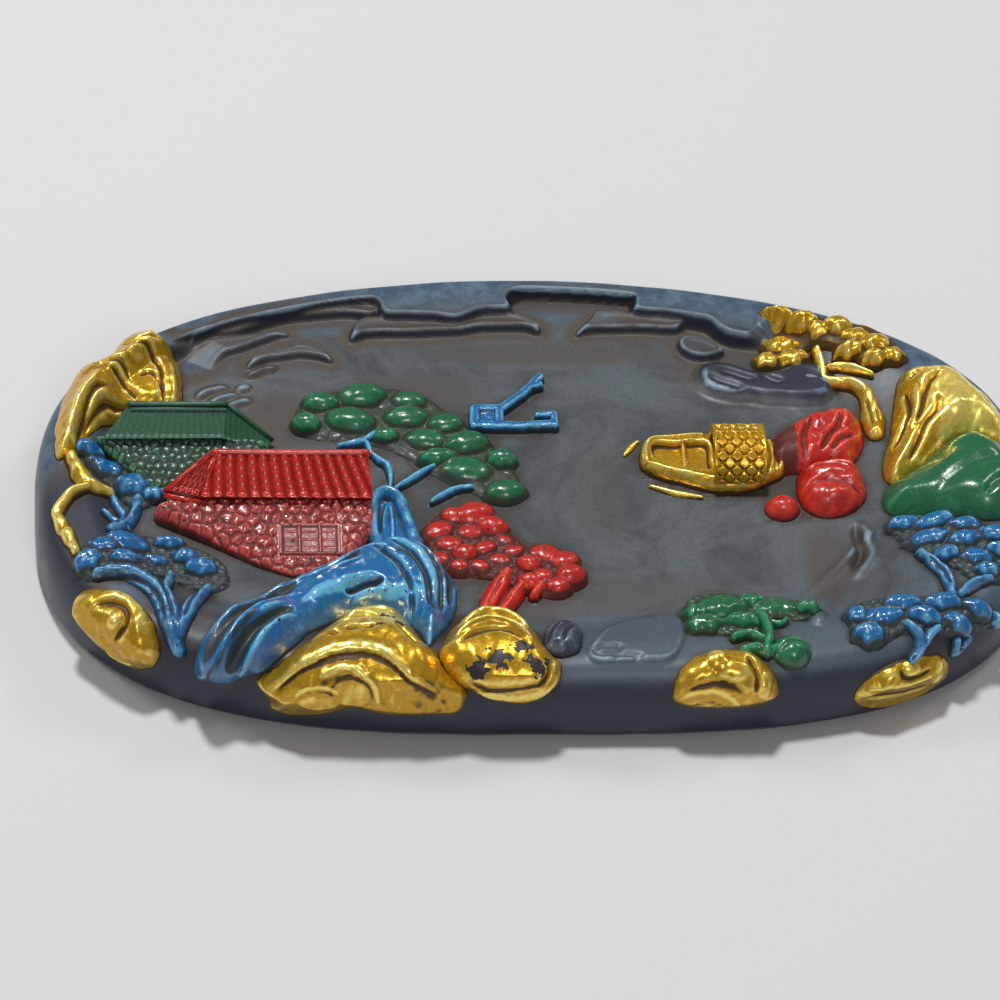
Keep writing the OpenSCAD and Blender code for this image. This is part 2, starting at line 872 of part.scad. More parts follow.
module blue_tree_low_foliage() {
    color(blue)
        pads(
            [
                [-72.4, -18, 1.9], [-68.3, -15.8, 2.1], [-64, -15, 1.8], [-64.6, -18.7, 1.5],
                [-60, -17.6, 1.9], [-56.6, -20, 1.7], [-53.4, -21.9, 1.5]
            ],
            leaf_pad_rise
        );
}

module blue_tree_low_trunk() {
    w = branch_half_width;
    color(blue) {
        ridge(
            [[-63.4, -21.2], [-61.3, -24.5], [-60.3, -29], [-59.4, -34.6]],
            [w, w, w, trunk_half_width], branch_rise
        );
        ridge([[-54.8, -24.3], [-56.6, -27.4], [-57.2, -30.6]], [w, w, w / 2], branch_rise);
    }
}

module blue_pine_upper_foliage() {
    color(blue)
        pads(
            [
                [60, -13, 2.2], [65, -13, 2.2], [70, -13.2, 2.1], [74.4, -14.4, 1.7],
                [62.4, -17, 1.6], [67.4, -17.4, 1.8], [72, -17.8, 1.9]
            ],
            leaf_pad_rise
        );
}

module blue_pine_upper_trunk() {
    w = branch_half_width;
    color(blue) {
        ridge([[64, -19.6], [65.4, -22], [65, -24.2]], [w / 2, w, w], branch_rise);
        ridge([[70.4, -20.8], [68.4, -22.6], [67.6, -24.6]], [w / 2, w, w], branch_rise);
    }
}

module blue_pine_lower_foliage() {
    color(blue)
        pads(
            [
                [49.4, -29.4, 1.9], [54, -28.4, 2], [58.6, -27.8, 2], [63.2, -27.8, 2],
                [67.6, -28, 1.8], [51.6, -33.2, 1.5], [55.6, -32.4, 1.7], [62.6, -32, 1.6]
            ],
            leaf_pad_rise
        );
}

module blue_pine_lower_trunk() {
    w = branch_half_width;
    color(blue) ridge([[58.8, -31], [59.2, -33], [58.6, -34.8]], [w, w, w], branch_rise);
}

module boat_hull() {
    color(gold)
        mound(
            [
                [17.4, 2.6], [22, -0.2], [28, -1], [34, -0.6], [38.4, 1], [39.4, 4.4],
                [37.4, 7.6], [33, 8.6], [26, 8.8], [19, 8], [16.8, 5.4]
            ],
            flat_top(deck_height)
        );
}

module boat_canopy() {
    x = along(32.4);
    y = across(3.9);
    color(gold)
        translate([x, y, bed_height + deck_height + 2 * seat_gap])
            intersection() {
                union() {
                    rotate([0, 90, 0]) cylinder(h = canopy_length, r = canopy_radius, center = true, $fn = 48);
                    for (side = [-1, 1])
                        translate([side * (canopy_length - window_bar) / 2, 0, 0])
                            rotate([0, 90, 0])
                                cylinder(
                                    h = window_bar, r = canopy_radius + hoop_proud,
                                    center = true, $fn = 48
                                );
                }
                translate([0, 0, canopy_radius])
                    cube([canopy_length, 3 * canopy_radius, 2 * canopy_radius], center = true);
            }
}

module boat_ripple() {
    w = ripple_half_width;
    color(gold) ridge([[18.6, -0.8], [22.4, -2.4], [26.6, -3.2]], [w / 2, w, w / 2], ripple_rise);
}

stone_slab();
front_shelf();
cloud_step_left();
cloud_step_right();
cloud_curl();
cloud_blob();
cloud_block();
water_ripple_upper();
water_ripple_lower();
dark_boulder();
dark_stone_small();
gold_rock_back_left();
gold_rock_front_left();
gold_rock_front_centre();
gold_rock_front_small();
gold_rock_front_mid();
gold_rock_front_right();
gold_rock_right();
gold_branch_left();
gold_pine_foliage();
gold_pine_trunk();
green_hall_roof();
green_hall_hip();
green_hall_wall();
green_pine_foliage();
green_rock_right();
green_tree_foliage();
green_tree_trunk();
green_boulder();
red_house_roof();
red_house_gable();
red_house_wall();
red_house_window();
red_tree_foliage();
red_tree_trunk();
red_rock_back();
red_rock_front();
red_rock_small();
blue_cliff();
blue_cliff_loop();
blue_pine_branches();
blue_pier_frame();
blue_tree_left_foliage();
blue_tree_left_trunk();
blue_tree_low_foliage();
blue_tree_low_trunk();
blue_pine_upper_foliage();
blue_pine_upper_trunk();
blue_pine_lower_foliage();
blue_pine_lower_trunk();
boat_hull();
boat_canopy();
boat_ripple();
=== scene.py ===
import math
import bpy
import bmesh
import numpy as np
from mathutils import Matrix, Vector
from mathutils.geometry import delaunay_2d_cdt


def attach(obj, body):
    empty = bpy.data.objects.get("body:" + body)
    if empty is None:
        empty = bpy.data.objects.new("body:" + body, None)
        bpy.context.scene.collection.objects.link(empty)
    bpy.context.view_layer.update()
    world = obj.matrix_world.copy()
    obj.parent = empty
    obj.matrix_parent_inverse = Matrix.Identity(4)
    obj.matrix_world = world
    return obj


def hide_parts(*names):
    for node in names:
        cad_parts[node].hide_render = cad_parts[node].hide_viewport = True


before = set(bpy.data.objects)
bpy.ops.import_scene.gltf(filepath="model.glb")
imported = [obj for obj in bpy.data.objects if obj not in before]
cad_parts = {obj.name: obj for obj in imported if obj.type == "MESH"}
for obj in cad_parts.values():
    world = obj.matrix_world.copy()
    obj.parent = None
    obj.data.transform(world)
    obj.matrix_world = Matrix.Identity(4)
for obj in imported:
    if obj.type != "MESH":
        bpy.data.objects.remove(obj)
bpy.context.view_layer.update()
mm = 0.001

# Camera: the stone is seen from the front and 47 degrees above the table, from nearly a metre away,
# with the camera turned a little clockwise, as the photograph shows it.
camera_place = np.array([-83.5, -580.4, 635.4])
sight = np.array([0.0902, 0.676, -0.7315])
sight = sight / np.linalg.norm(sight)
table_turn = math.radians(7.6)
camera_roll = math.radians(5.67)
level_right = np.array([math.cos(table_turn), -math.sin(table_turn), 0])
level_up = np.cross(level_right, sight)
camera_right = math.cos(camera_roll) * level_right + math.sin(camera_roll) * level_up
camera_up = math.cos(camera_roll) * level_up - math.sin(camera_roll) * level_right
camera_data = bpy.data.cameras.new("camera")
camera_data.lens = 188.68
camera_data.sensor_width = 36
camera = bpy.data.objects.new("camera", camera_data)
bpy.context.scene.collection.objects.link(camera)
pose = Matrix.Identity(4)
for column, axis in enumerate((camera_right, camera_up, -sight)):
    for row in range(3):
        pose[row][column] = axis[row]
pose.translation = Vector(camera_place * mm)
camera.matrix_world = pose
bpy.context.scene.camera = camera
bpy.context.scene.view_settings.view_transform = "Standard"


def paint_colour(red, green, blue):
    """A colour as it looks on a screen, turned into Blender's linear values."""
    return tuple(
        c / 12.92 if c < 0.04045 else ((c + 0.055) / 1.055) ** 2.4 for c in (red, green, blue)
    ) + (1.0,)


# Table: a plain pale sheet under the stone.
# It is only staging and is not part of the stone.
bpy.ops.object.select_all(action="DESELECT")
bpy.ops.mesh.primitive_plane_add(size=4)
table = bpy.context.object
table.name = "table"
table_paint = bpy.data.materials.new("pale sheet")
table_paint.use_nodes = True
table_shader = table_paint.node_tree.nodes["Principled BSDF"]
table_shader.inputs["Base Color"].default_value = paint_colour(0.8, 0.8, 0.8)
table_shader.inputs["Roughness"].default_value = 0.9
table.data.materials.append(table_paint)


# Light: one soft lamp high over the stone, which gives the small bright points on the glossy paint,
# wide weak lamps in front and on each side, and an even pale sky.
def soft_lamp(name, place, width, power):
    """A round lamp that shines at the middle of the stone."""
    data = bpy.data.lights.new(name, "AREA")
    data.shape = "DISK"
    data.size = width
    data.energy = power
    lamp = bpy.data.objects.new(name, data)
    bpy.context.scene.collection.objects.link(lamp)
    lamp.location = place
    lamp.rotation_mode = "QUATERNION"
    lamp.rotation_quaternion = Vector(place).to_track_quat("Z", "Y")


soft_lamp("top lamp", (-0.14, 0.24, 1.15), 0.15, 9.6)
soft_lamp("front lamp", (0.1, -0.9, 0.9), 0.3, 2.2)
soft_lamp("left lamp", (-0.8, 0.35, 0.8), 0.3, 2.4)
soft_lamp("right lamp", (0.7, 0.5, 0.9), 0.3, 2)
world = bpy.data.worlds.new("pale sky")
bpy.context.scene.world = world
world.use_nodes = True
world.node_tree.nodes["Background"].inputs["Color"].default_value = (1, 1, 1, 1)
world.node_tree.nodes["Background"].inputs["Strength"].default_value = 0.2


# Stone: one oval block of slate-blue stone, ground flat inside and left with a raised rim.
# Clouds, water and the small front shelf are cut into the same block.
# Places on the stone are plan millimetres that run on down over the rounded edge, as on a skin peeled flat.
stone_length, stone_width = 164, 91
bed_height, rim_height = 11, 14
turn_under_height, base_inset = 2, 0.03
block_low, block_high = (-81.98, -45.6, 0), (81.98, 45.48, 15.2)
bed_edge = (
    [-180, -150, -120, -92, -78, -60, -35, -20, -5, 12, 28, 40, 60, 150, 165, 180],
    [0.84, 0.74, 0.62, 0.62, 0.66, 0.58, 0.62, 0.66, 0.7, 0.72, 0.74, 0.88, 0.89, 0.89, 0.87, 0.84],
)
rim_shoulder = (
    [-180, -120, -90, -60, -20, 12, 45, 150, 180],
    [0.91, 0.84, 0.84, 0.83, 0.86, 0.88, 0.92, 0.92, 0.91],
)
rounding_start = ([-180, -90, 0, 90, 180], [0.92, 0.86, 0.91, 0.94, 0.92])


def reach_at(turn):
    """Distance from the middle to the widest line, by direction."""
    squareness = 2.6 - 0.5 * np.sin(turn)
    along = np.abs(np.cos(turn)) * 2 / stone_length
    across = np.abs(np.sin(turn)) * 2 / stone_width
    return (along**squareness + across**squareness) ** (-1 / squareness)


def edge_line(turn, reach):
    """The rounded edge's line for each direction: how far out, how high, and the length run so far."""
    roundness = (3.8 + 1.4 * np.sin(turn))[:, None]
    outer = np.interp(np.degrees(turn), *rounding_start)
    swing = np.linspace(math.pi / 2, 0, 33)[None, :]
    c, s = np.maximum(np.cos(swing), 0), np.sin(swing)
    size = (c**roundness + s**roundness) ** (-1 / roundness)
    out = size * c * ((1 - outer) * reach)[:, None]
    up = turn_under_height + (rim_height - turn_under_height) * size * s
    out = np.hstack([out, ((1 - base_inset - outer) * reach)[:, None]])
    up = np.hstack([up, np.zeros((len(turn), 1))])
    run = np.cumsum(np.hypot(np.diff(out, axis=1), np.diff(up, axis=1)), axis=1)
    return out, up, np.hstack([np.zeros((len(turn), 1)), run])


def full_reach(turn):
    """Length of the skin from the middle over the edge and down to the flat base."""
    reach = reach_at(turn)
    outer = np.interp(np.degrees(turn), *rounding_start)
    return outer * reach + edge_line(turn, reach)[2][:, -1]


def skin(x, y):
    """Points of the stone's surface, in millimetres."""
    turn = np.arctan2(y, x)
    gone = np.hypot(x, y)
    reach = reach_at(turn)
    inner, shoulder, outer = (
        np.interp(np.degrees(turn), *line) for line in (bed_edge, rim_shoulder, rounding_start)
    )
    share = gone / reach
    climb = np.clip((share - inner) / (shoulder - inner), 0, 1)
    z = bed_height + (rim_height - bed_height) * climb * climb * (3 - 2 * climb)
    plan = gone.copy()
    edge = np.nonzero(share > outer)[0]
    if len(edge):
        out, up, run = edge_line(turn[edge], reach[edge])
        over = np.minimum(gone[edge] - outer[edge] * reach[edge], run[:, -1] - 1e-9)
        i = np.clip((run <= over[:, None]).sum(1), 1, run.shape[1] - 1)
        row = np.arange(len(edge))
        part = (over - run[row, i - 1]) / np.maximum(run[row, i] - run[row, i - 1], 1e-9)
        plan[edge] = outer[edge] * reach[edge] + out[row, i - 1] * (1 - part) + out[row, i] * part
        z[edge] = up[row, i - 1] * (1 - part) + up[row, i] * part
    pull = plan / np.maximum(gone, 1e-6)
    return np.stack([x * pull, y * pull, z], -1)


def skin_normal(x, y):
    """Directions square to the stone's surface."""
    step = 0.05
    normal = np.cross(
        skin(x + step, y) - skin(x - step, y), skin(x, y + step) - skin(x, y - step)
    )
    return normal / np.linalg.norm(normal, axis=1, keepdims=True)


def smooth_line(points, step=0.3, closed=False):
    """A smooth line through given points, with a point about every step millimetres."""
    p = np.array(points, float)
    n = len(p)
    spans = range(n) if closed else range(n - 1)
    line = []
    for i in spans:
        if closed:
            a, b, c, d = p[(i - 1) % n], p[i], p[(i + 1) % n], p[(i + 2) % n]
        else:
            a, b, c, d = p[max(i - 1, 0)], p[i], p[i + 1], p[min(i + 2, n - 1)]
        count = max(1, int(math.ceil(np.linalg.norm(c - b) / step)))
        for t in np.arange(count) / count:
            line.append(
                0.5 * (2 * b + (c - a) * t + (2 * a - 5 * b + 4 * c - d) * t * t
                + (3 * b - a - 3 * c + d) * t**3)
            )
    if not closed:
        line.append(p[-1])
    return np.array(line)


def nearest(x, y, line, closed=False):
    """Distance to a line, the share of the line gone by there, and the side (left is positive)."""
    ends = np.vstack([line, line[:1]]) if closed else line
    a, b = ends[:-1], ends[1:]
    length = np.linalg.norm(b - a, axis=1)
    start = np.concatenate([[0], np.cumsum(length)])[:-1]
    best = np.full(len(x), 1e9)
    share = np.zeros(len(x))
    side = np.zeros(len(x))
    for i in range(len(a)):
        if length[i] < 1e-9:
            continue
        u = (b[i] - a[i]) / length[i]
        dx, dy = x - a[i, 0], y - a[i, 1]
        t = np.clip(dx * u[0] + dy * u[1], 0, length[i])
        away = np.hypot(dx - t * u[0], dy - t * u[1])
        closer = away < best
        best[closer] = away[closer]
        share[closer] = ((start[i] + t) / length.sum())[closer]
        side[closer] = (u[0] * dy - u[1] * dx)[closer]
    return best, share, np.sign(side)


def inside(x, y, loop):
    """True for the points within a closed outline."""
    hit = np.zeros(len(x), bool)
    ahead = np.roll(loop, -1, axis=0)
    for (ax, ay), (bx, by) in zip(loop, ahead):
        if ay == by:
            continue
        crosses = ((ay > y) != (by > y)) & (x < (bx - ax) * (y - ay) / (by - ay) + ax)
        hit ^= crosses
    return hit


row_gap = 0.866


def hex_points(low, high, step):
    """Evenly spread points, each row shifted by half a step and row_gap steps above the last."""
    rows = np.arange(low[1], high[1], step * row_gap)
    columns = np.arange(low[0], high[0], step)
    x, y = np.meshgrid(columns, rows)
    x = x + (np.arange(len(rows)) % 2)[:, None] * step / 2
    return x.ravel(), y.ravel()


def triangles(loop, x, y):
    """Triangles over the points inside a loop; gives back the points, loop first, and the faces."""
    points = np.vstack([loop, np.stack([x, y], -1)])
    corners = [Vector(p) for p in points.tolist()]
    found = delaunay_2d_cdt(corners, [], [list(range(len(loop)))], 1, 1e-7, False)
    places = np.array([tuple(v) for v in found[0]])
    return places, found[2]


def new_piece(name, places, faces):
    """A closed mesh from points in millimetres, with its faces turned outwards."""
    mesh = bpy.data.meshes.new(name)
    mesh.from_pydata((np.asarray(places) * mm).tolist(), [], faces)
    mesh.update()
    piece = bpy.data.objects.new(name, mesh)
    bpy.context.scene.collection.objects.link(piece)
    shape = bmesh.new()
    shape.from_mesh(mesh)
    bmesh.ops.recalc_face_normals(shape, faces=shape.faces)
    shape.to_mesh(mesh)
    shape.free()
    mesh.shade_smooth()
    return piece


def give_values(piece, name, values):
    """Stores one number for each point of the mesh, for its material to read."""
    store = piece.data.attributes.new(name, "FLOAT", "POINT")
    store.data.foreach_set("value", np.asarray(values, np.float32))


def blurred(values, faces, count, passes):
    """Values evened out over neighbouring points of the mesh."""
    f = np.array(faces)
    pairs = np.vstack([f[:, [0, 1]], f[:, [1, 2]], f[:, [2, 0]]])
    a = np.concatenate([pairs[:, 0], pairs[:, 1]])
    b = np.concatenate([pairs[:, 1], pairs[:, 0]])
    number = np.maximum(np.bincount(a, minlength=count), 1)
    for _ in range(passes):
        values = 0.5 * values + 0.5 * np.bincount(a, values[b], minlength=count) / number
    return values


def hollows(height, faces, passes, deep):
    """0 on high and flat ground, 1 in cuts and corners that old wash would fill."""
    return np.clip((blurred(height, faces, len(height), passes) - height) / deep, -1, 1)


def swell(x, y, points, half_width, high, taper=0.25, crisp=2.0):
    """A raised line, or a cut one where high is below zero; the share taper of each end thins out."""
    away, share, _ = nearest(x, y, smooth_line(points, 0.4))
    ends = np.clip(share / taper, 0, 1) * np.clip((1 - share) / taper, 0, 1)
    ends = ends * (2 - ends)
    width = half_width * (0.4 + 0.6 * ends)
    return high * ends * np.exp(-((away / width) ** crisp))


def body(x, y, outline, high, shoulder, power=2.4):
    """A rounded mass over a closed outline; it goes below zero outside the outline."""
    loop = smooth_line(outline, 0.5, True)
    away = nearest(x, y, loop, True)[0]
    depth = np.where(inside(x, y, loop), away, -away) / shoulder
    return high * np.where(depth > 0, 1 - (1 - np.minimum(depth, 1)) ** power, power * depth)


def band(x, y, points, half_width, high, power=2.0):
    """A rounded band along a line; half_width is a number or one number for each stretch of the line."""
    away, share, _ = nearest(x, y, smooth_line(points, 0.4))
    widths = np.atleast_1d(np.asarray(half_width, float))
    width = np.interp(share, np.linspace(0, 1, len(widths)), widths)
    return high * (1 - (away / width) ** power)


def hump(x, y, cx, cy, rx, ry, high, turn=0, power=2.0):
    """An oval swelling, rx by ry, turned by so many degrees."""
    c, s = math.cos(math.radians(turn)), math.sin(math.radians(turn))
    u = ((x - cx) * c + (y - cy) * s) / rx
    v = ((y - cy) * c - (x - cx) * s) / ry
    return high * (1 - (u * u + v * v) ** (power / 2))


def ledge(x, y, points, drop, reach):
    """Lowers the ground on the right-hand side of a line, most of all close to the line."""
    slope_width, taper = 0.35, 0.12
    away, share, side = nearest(x, y, smooth_line(points, 0.4))
    signed = -away * side
    ends = np.clip(share / taper, 0, 1) * np.clip((1 - share) / taper, 0, 1)
    rise = np.clip(signed / slope_width, 0, 1)
    return -drop * ends * rise * rise * (3 - 2 * rise) * np.clip(1 - signed / reach, 0, 1) ** 1.5


def join(a, b, soft=0.3):
    """The higher of two heights, with a soft crease between them."""
    return 0.5 * (a + b + np.sqrt((a - b) ** 2 + soft * soft)) - 0.15 * soft


def uneven(x, y, size, seed=0.0):
    """A slow wandering between about -1 and 1."""
    u, v = x / size + seed, y / size - 1.7 * seed
    bend = np.sin(1.31 * v + 0.9 * np.sin(0.83 * u + seed))
    return 0.5 * np.sin(1.7 * u + 1.3 * bend) + 0.5 * np.sin(1.9 * v - 1.1 * u + 1.2 * np.sin(1.13 * u))


def rise_direction(x, y):
    """Straight up over the flat part of the stone, square to the surface on the rounded edge."""
    turn = np.arctan2(y, x)
    share = np.hypot(x, y) / reach_at(turn)
    normal = skin_normal(x, y)
    normal[share <= np.interp(np.degrees(turn), *rounding_start)] = (0, 0, 1)
    return normal


# The painted colours share one group of shader nodes: brown or grey wash in the hollows, a lighter colour
# on the edges that is rubbed paint and painted highlight, small chips and uneven brushing.
def node(tree, kind, values=None, **settings):
    """Adds a shader node, sets its options and joins or sets its inputs."""
    made = tree.nodes.new(kind)
    for key, value in settings.items():
        setattr(made, key, value)
    for socket, value in (values or {}).items():
        if isinstance(value, bpy.types.NodeSocket):
            tree.links.new(value, made.inputs[socket])
        else:
            made.inputs[socket].default_value = value
    return made


def noise(tree, place, scale, detail=4, roughness=0.6, distortion=0):
    """Cloudy noise at a place, between 0 and 1."""
    values = {
        "Vector": place, "Scale": scale, "Detail": detail, "Roughness": roughness,
        "Distortion": distortion,
    }
    return node(tree, "ShaderNodeTexNoise", values).outputs[0]


def sum_of(tree, *parts):
    """Adds sockets, each given with the factor it is multiplied by."""
    total = 0.0
    for socket, factor in parts:
        values = {0: socket, 1: factor, 2: total}
        total = node(tree, "ShaderNodeMath", values, operation="MULTIPLY_ADD").outputs[0]
    return total


def between(tree, value, low, high, to_low=0.0, to_high=1.0):
    """Takes a value from one range to another, with soft ends."""
    values = {"Value": value, "From Min": low, "From Max": high, "To Min": to_low, "To Max": to_high}
    return node(tree, "ShaderNodeMapRange", values, interpolation_type="SMOOTHSTEP").outputs[0]


def mixed(tree, share, first, second):
    """Goes from the first colour to the second as the share goes from 0 to 1."""
    made = tree.nodes.new("ShaderNodeMix")
    made.data_type = "RGBA"
    for socket, value in ((made.inputs[0], share), (made.inputs[6], first), (made.inputs[7], second)):
        if isinstance(value, bpy.types.NodeSocket):
            tree.links.new(value, socket)
        else:
            socket.default_value = value
    return made.outputs[2]


worn = bpy.data.node_groups.new("worn paint", "ShaderNodeTree")
for name in ("Paint", "Light", "Wash", "Chip"):
    worn.interface.new_socket(name, in_out="INPUT", socket_type="NodeSocketColor")
for name in ("Wash amount", "Chips", "Gloss"):
    worn.interface.new_socket(name, in_out="INPUT", socket_type="NodeSocketFloat")
worn.interface.new_socket("Colour", in_out="OUTPUT", socket_type="NodeSocketColor")
for name in ("Roughness", "Bare", "Height"):
    worn.interface.new_socket(name, in_out="OUTPUT", socket_type="NodeSocketFloat")
given = worn.nodes.new("NodeGroupInput").outputs
result = worn.nodes.new("NodeGroupOutput").inputs
spot = node(worn, "ShaderNodeTexCoord").outputs["Object"]
# The hollow value also carries the painted shade and painted highlight that some motifs add to it.
hollow = node(worn, "ShaderNodeAttribute", attribute_name="hollow").outputs["Fac"]
rubbed_through = node(worn, "ShaderNodeAttribute", attribute_name="bare").outputs["Fac"]
broad = noise(worn, spot, 110, 3)
middle = noise(worn, spot, 430, 5, 0.65, 0.4)
fine = noise(worn, spot, 1700, 4, 0.6)
specks = noise(worn, spot, 900, 2, 0.5)
depth = sum_of(worn, (hollow, 1.25), (middle, 0.9), (broad, 0.5))
wash = between(worn, depth, 0.86, 1.3)
wash = node(worn, "ShaderNodeMath", {0: wash, 1: given["Wash amount"]}, operation="MULTIPLY").outputs[0]
# Lighter paint on the raised edges: rubbed paint, and a painted highlight in the Light colour.
rubbed_and_highlit = between(worn, depth, 0.62, 0.12)
colour = mixed(worn, rubbed_and_highlit, given["Paint"], given["Light"])
colour = mixed(worn, wash, colour, given["Wash"])
chip_place = sum_of(
    worn, (specks, 0.7), (middle, 0.3), (given["Chips"], 0.3), (hollow, -0.06), (rubbed_through, 0.34)
)
chipped = between(worn, chip_place, 0.74, 0.77)
colour = mixed(worn, chipped, colour, given["Chip"])
brushed = between(worn, fine, 0.3, 0.7, 0.86, 1.12)
colour = node(worn, "ShaderNodeHueSaturation", {"Color": colour, "Value": brushed}).outputs[0]
worn.links.new(colour, result["Colour"])
rough = sum_of(worn, (wash, 0.32), (middle, 0.22), (chipped, 0.25), (given["Gloss"], 1.0))
worn.links.new(rough, result["Roughness"])
bare = node(worn, "ShaderNodeMath", {0: wash, 1: chipped}, operation="MAXIMUM").outputs[0]
worn.links.new(bare, result["Bare"])
height = sum_of(worn, (fine, 0.5), (middle, 0.6), (chipped, -0.5))
worn.links.new(height, result["Height"])


def paint(name, colour, light, wash, chip, amount=0.9, chips=0.3, gloss=0.18, metal=0.0, coat=0.5,
          relief=0.22):
    """A painted surface; the colours are given as they look on a screen."""
    made = bpy.data.materials.new(name)
    made.use_nodes = True
    tree = made.node_tree
    values = {
        "Paint": paint_colour(*colour), "Light": paint_colour(*light), "Wash": paint_colour(*wash),
        "Chip": paint_colour(*chip), "Wash amount": amount, "Chips": chips, "Gloss": gloss,
    }
    shared = tree.nodes.new("ShaderNodeGroup")
    shared.node_tree = worn
    for key, value in values.items():
        shared.inputs[key].default_value = value
    shader = tree.nodes["Principled BSDF"]
    tree.links.new(shared.outputs["Colour"], shader.inputs["Base Color"])
    tree.links.new(shared.outputs["Roughness"], shader.inputs["Roughness"])
    if metal:
        values = {0: shared.outputs["Bare"], 1: -0.8 * metal, 2: metal}
        shine = node(tree, "ShaderNodeMath", values, operation="MULTIPLY_ADD").outputs[0]
        tree.links.new(shine, shader.inputs["Metallic"])
    if coat:
        values = {0: shared.outputs["Bare"], 1: -0.9 * coat, 2: coat}
        coating = node(tree, "ShaderNodeMath", values, operation="MULTIPLY_ADD").outputs[0]
        tree.links.new(coating, shader.inputs["Coat Weight"])
        shader.inputs["Coat Roughness"].default_value = 0.12
    values = {"Height": shared.outputs["Height"], "Strength": 0.7, "Distance": relief * mm}
    bump = node(tree, "ShaderNodeBump", values).outputs[0]
    tree.links.new(bump, shader.inputs["Normal"])
    return made


turns = np.radians(np.arange(720) / 2 - 180)
base_reach = full_reach(turns)
stone_loop = np.stack([np.cos(turns), np.sin(turns)], -1) * base_reach[:, None]

# The back of the rim is a cloud bank: a flat top at rim height with this front edge,
# and lower terraces, curls and ripples stepping down from it to the bed.
cloud_edge = [
    (-58, 32.2), (-53.8, 33.7), (-48.6, 36.5), (-44.5, 37.5), (-39.9, 38.5), (-35.4, 39.2),
    (-30.9, 39.7), (-26.4, 39.9), (-25, 39.2), (-24.4, 37.4), (-23.2, 36.2), (-19.5, 36.1), (-15.4, 35.9),
    (-11.6, 35.4), (-7.6, 37.2), (-4.4, 37.5), (-2.8, 37.8), (-2.2, 39), (-2.6, 40.6), (-1.7, 42),
    (0.5, 42.9), (5.6, 42.8), (9.5, 42.4), (13.7, 42.3), (17.3, 42.1), (18.5, 41.2), (18.5, 39.6),
    (18.2, 38), (19.8, 37.3), (23.4, 36.9), (27.8, 36.1), (30.7, 35.3), (32.4, 33.4), (34.3, 32.1),
    (37.1, 31.4), (38.7, 31.2), (46, 30),
]
cloud_terrace = [
    (-56, 30.9), (-54.1, 32.1), (-48.7, 33.4), (-44.1, 35.5), (-39.9, 36.9), (-34.8, 37.6),
    (-29.9, 38.1), (-25.8, 37.6), (-24, 39), (-27, 41.5), (-36, 41), (-46, 39), (-54, 36),
]
terrace_left = [
    (-29.4, 32.6), (-27.2, 33.3), (-24, 33.6), (-20.2, 33.6), (-16.3, 33.8), (-11.5, 34.1),
    (-7.6, 35), (-3.8, 35.1), (-0.2, 35.1), (2, 34.3), (2.4, 35.6), (1.1, 36.8), (-1, 38.2),
    (-3, 38.6), (-8, 38.4), (-16, 37.5), (-24, 37.5), (-28, 36.5),
]
terrace_right = [
    (8.7, 34), (10.4, 34.6), (14.9, 34.8), (19.8, 34.8), (24.6, 34.6), (26.2, 35.3),
    (26.9, 36.8), (21.6, 38), (17.8, 38.8), (14.6, 39), (12.3, 38.8), (11.2, 37.3), (9.7, 35.4),
]
ripple_long = [
    (-57.1, 24.6), (-54.6, 25.2), (-52.8, 26.1), (-50.7, 28.8), (-47.5, 30.3), (-44.2, 31.9),
    (-42, 33), (-39.9, 33.7), (-42.6, 34), (-45.8, 33.7), (-49.9, 33), (-53.1, 32.3),
    (-56.1, 29.6), (-57.7, 26.5),
]
ripple_short = [
    (-46.9, 25.8), (-44, 27.5), (-41.2, 28.1), (-38, 28.7), (-35.1, 28.3), (-32.9, 27.6),
    (-33.8, 29.5), (-35.7, 30.8), (-38.2, 31.4), (-40.1, 30.5), (-43, 29.4), (-45.9, 28.1),
]
cloud_blob = [
    (25.7, 32), (27, 33.2), (29.3, 33), (31.8, 31.6), (33, 29.8), (30.6, 28.4), (27.7, 28.7), (26, 30.1),
]
cloud_block = [
    (28.4, 24.1), (29.3, 26.5), (31.7, 27.2), (34.5, 26.5), (36.7, 25.4), (39.2, 24.8), (42, 25.5),
    (46, 27), (50, 25), (50, 20), (46, 18.6), (41.5, 18.8), (38.7, 19), (36.2, 19.6), (33, 19.8),
    (29.6, 21.2),
]
shelf = [
    (5.2, -39.3), (6.6, -36), (8.6, -32.6), (11.3, -30.8), (14.7, -29.7), (18.6, -29.5), (20.8, -30.7),
    (20.3, -37.1), (18.1, -40.4), (13.5, -40.9), (9.6, -41), (6.7, -40.9),
]


def depth_in(x, y, outline, closed=True):
    """Distance to an outline, above zero inside it; an open one runs on round the back of the stone."""
    line = smooth_line(outline, 0.4, closed)
    loop = line if closed else np.vstack([line, [(60, 60), (-75, 60)]])
    away = nearest(x, y, line, closed)[0]
    return np.where(inside(x, y, loop), away, -away)


def terrace(depth, high, wall, lip):
    """A flat step with a steep side and a small raised lip along its edge."""
    t = np.clip(depth / wall + 0.5, 0, 1)
    return high * t * t * (3 - 2 * t) + lip * np.exp(-(((depth - 0.3 - 0.5 * wall) / 0.5) ** 2))


def stains(x, y, ovals, edge):
    """Oval stains: how strong the strongest one is at each point; a higher edge value fades less softly."""
    strongest = np.zeros(len(x))
    for middle_x, middle_y, rx, ry, tone in ovals:
        near = 1 - ((x - middle_x) / rx) ** 2 - ((y - middle_y) / ry) ** 2
        strongest = np.maximum(strongest, tone * np.clip(near * edge, 0, 1))
    return strongest


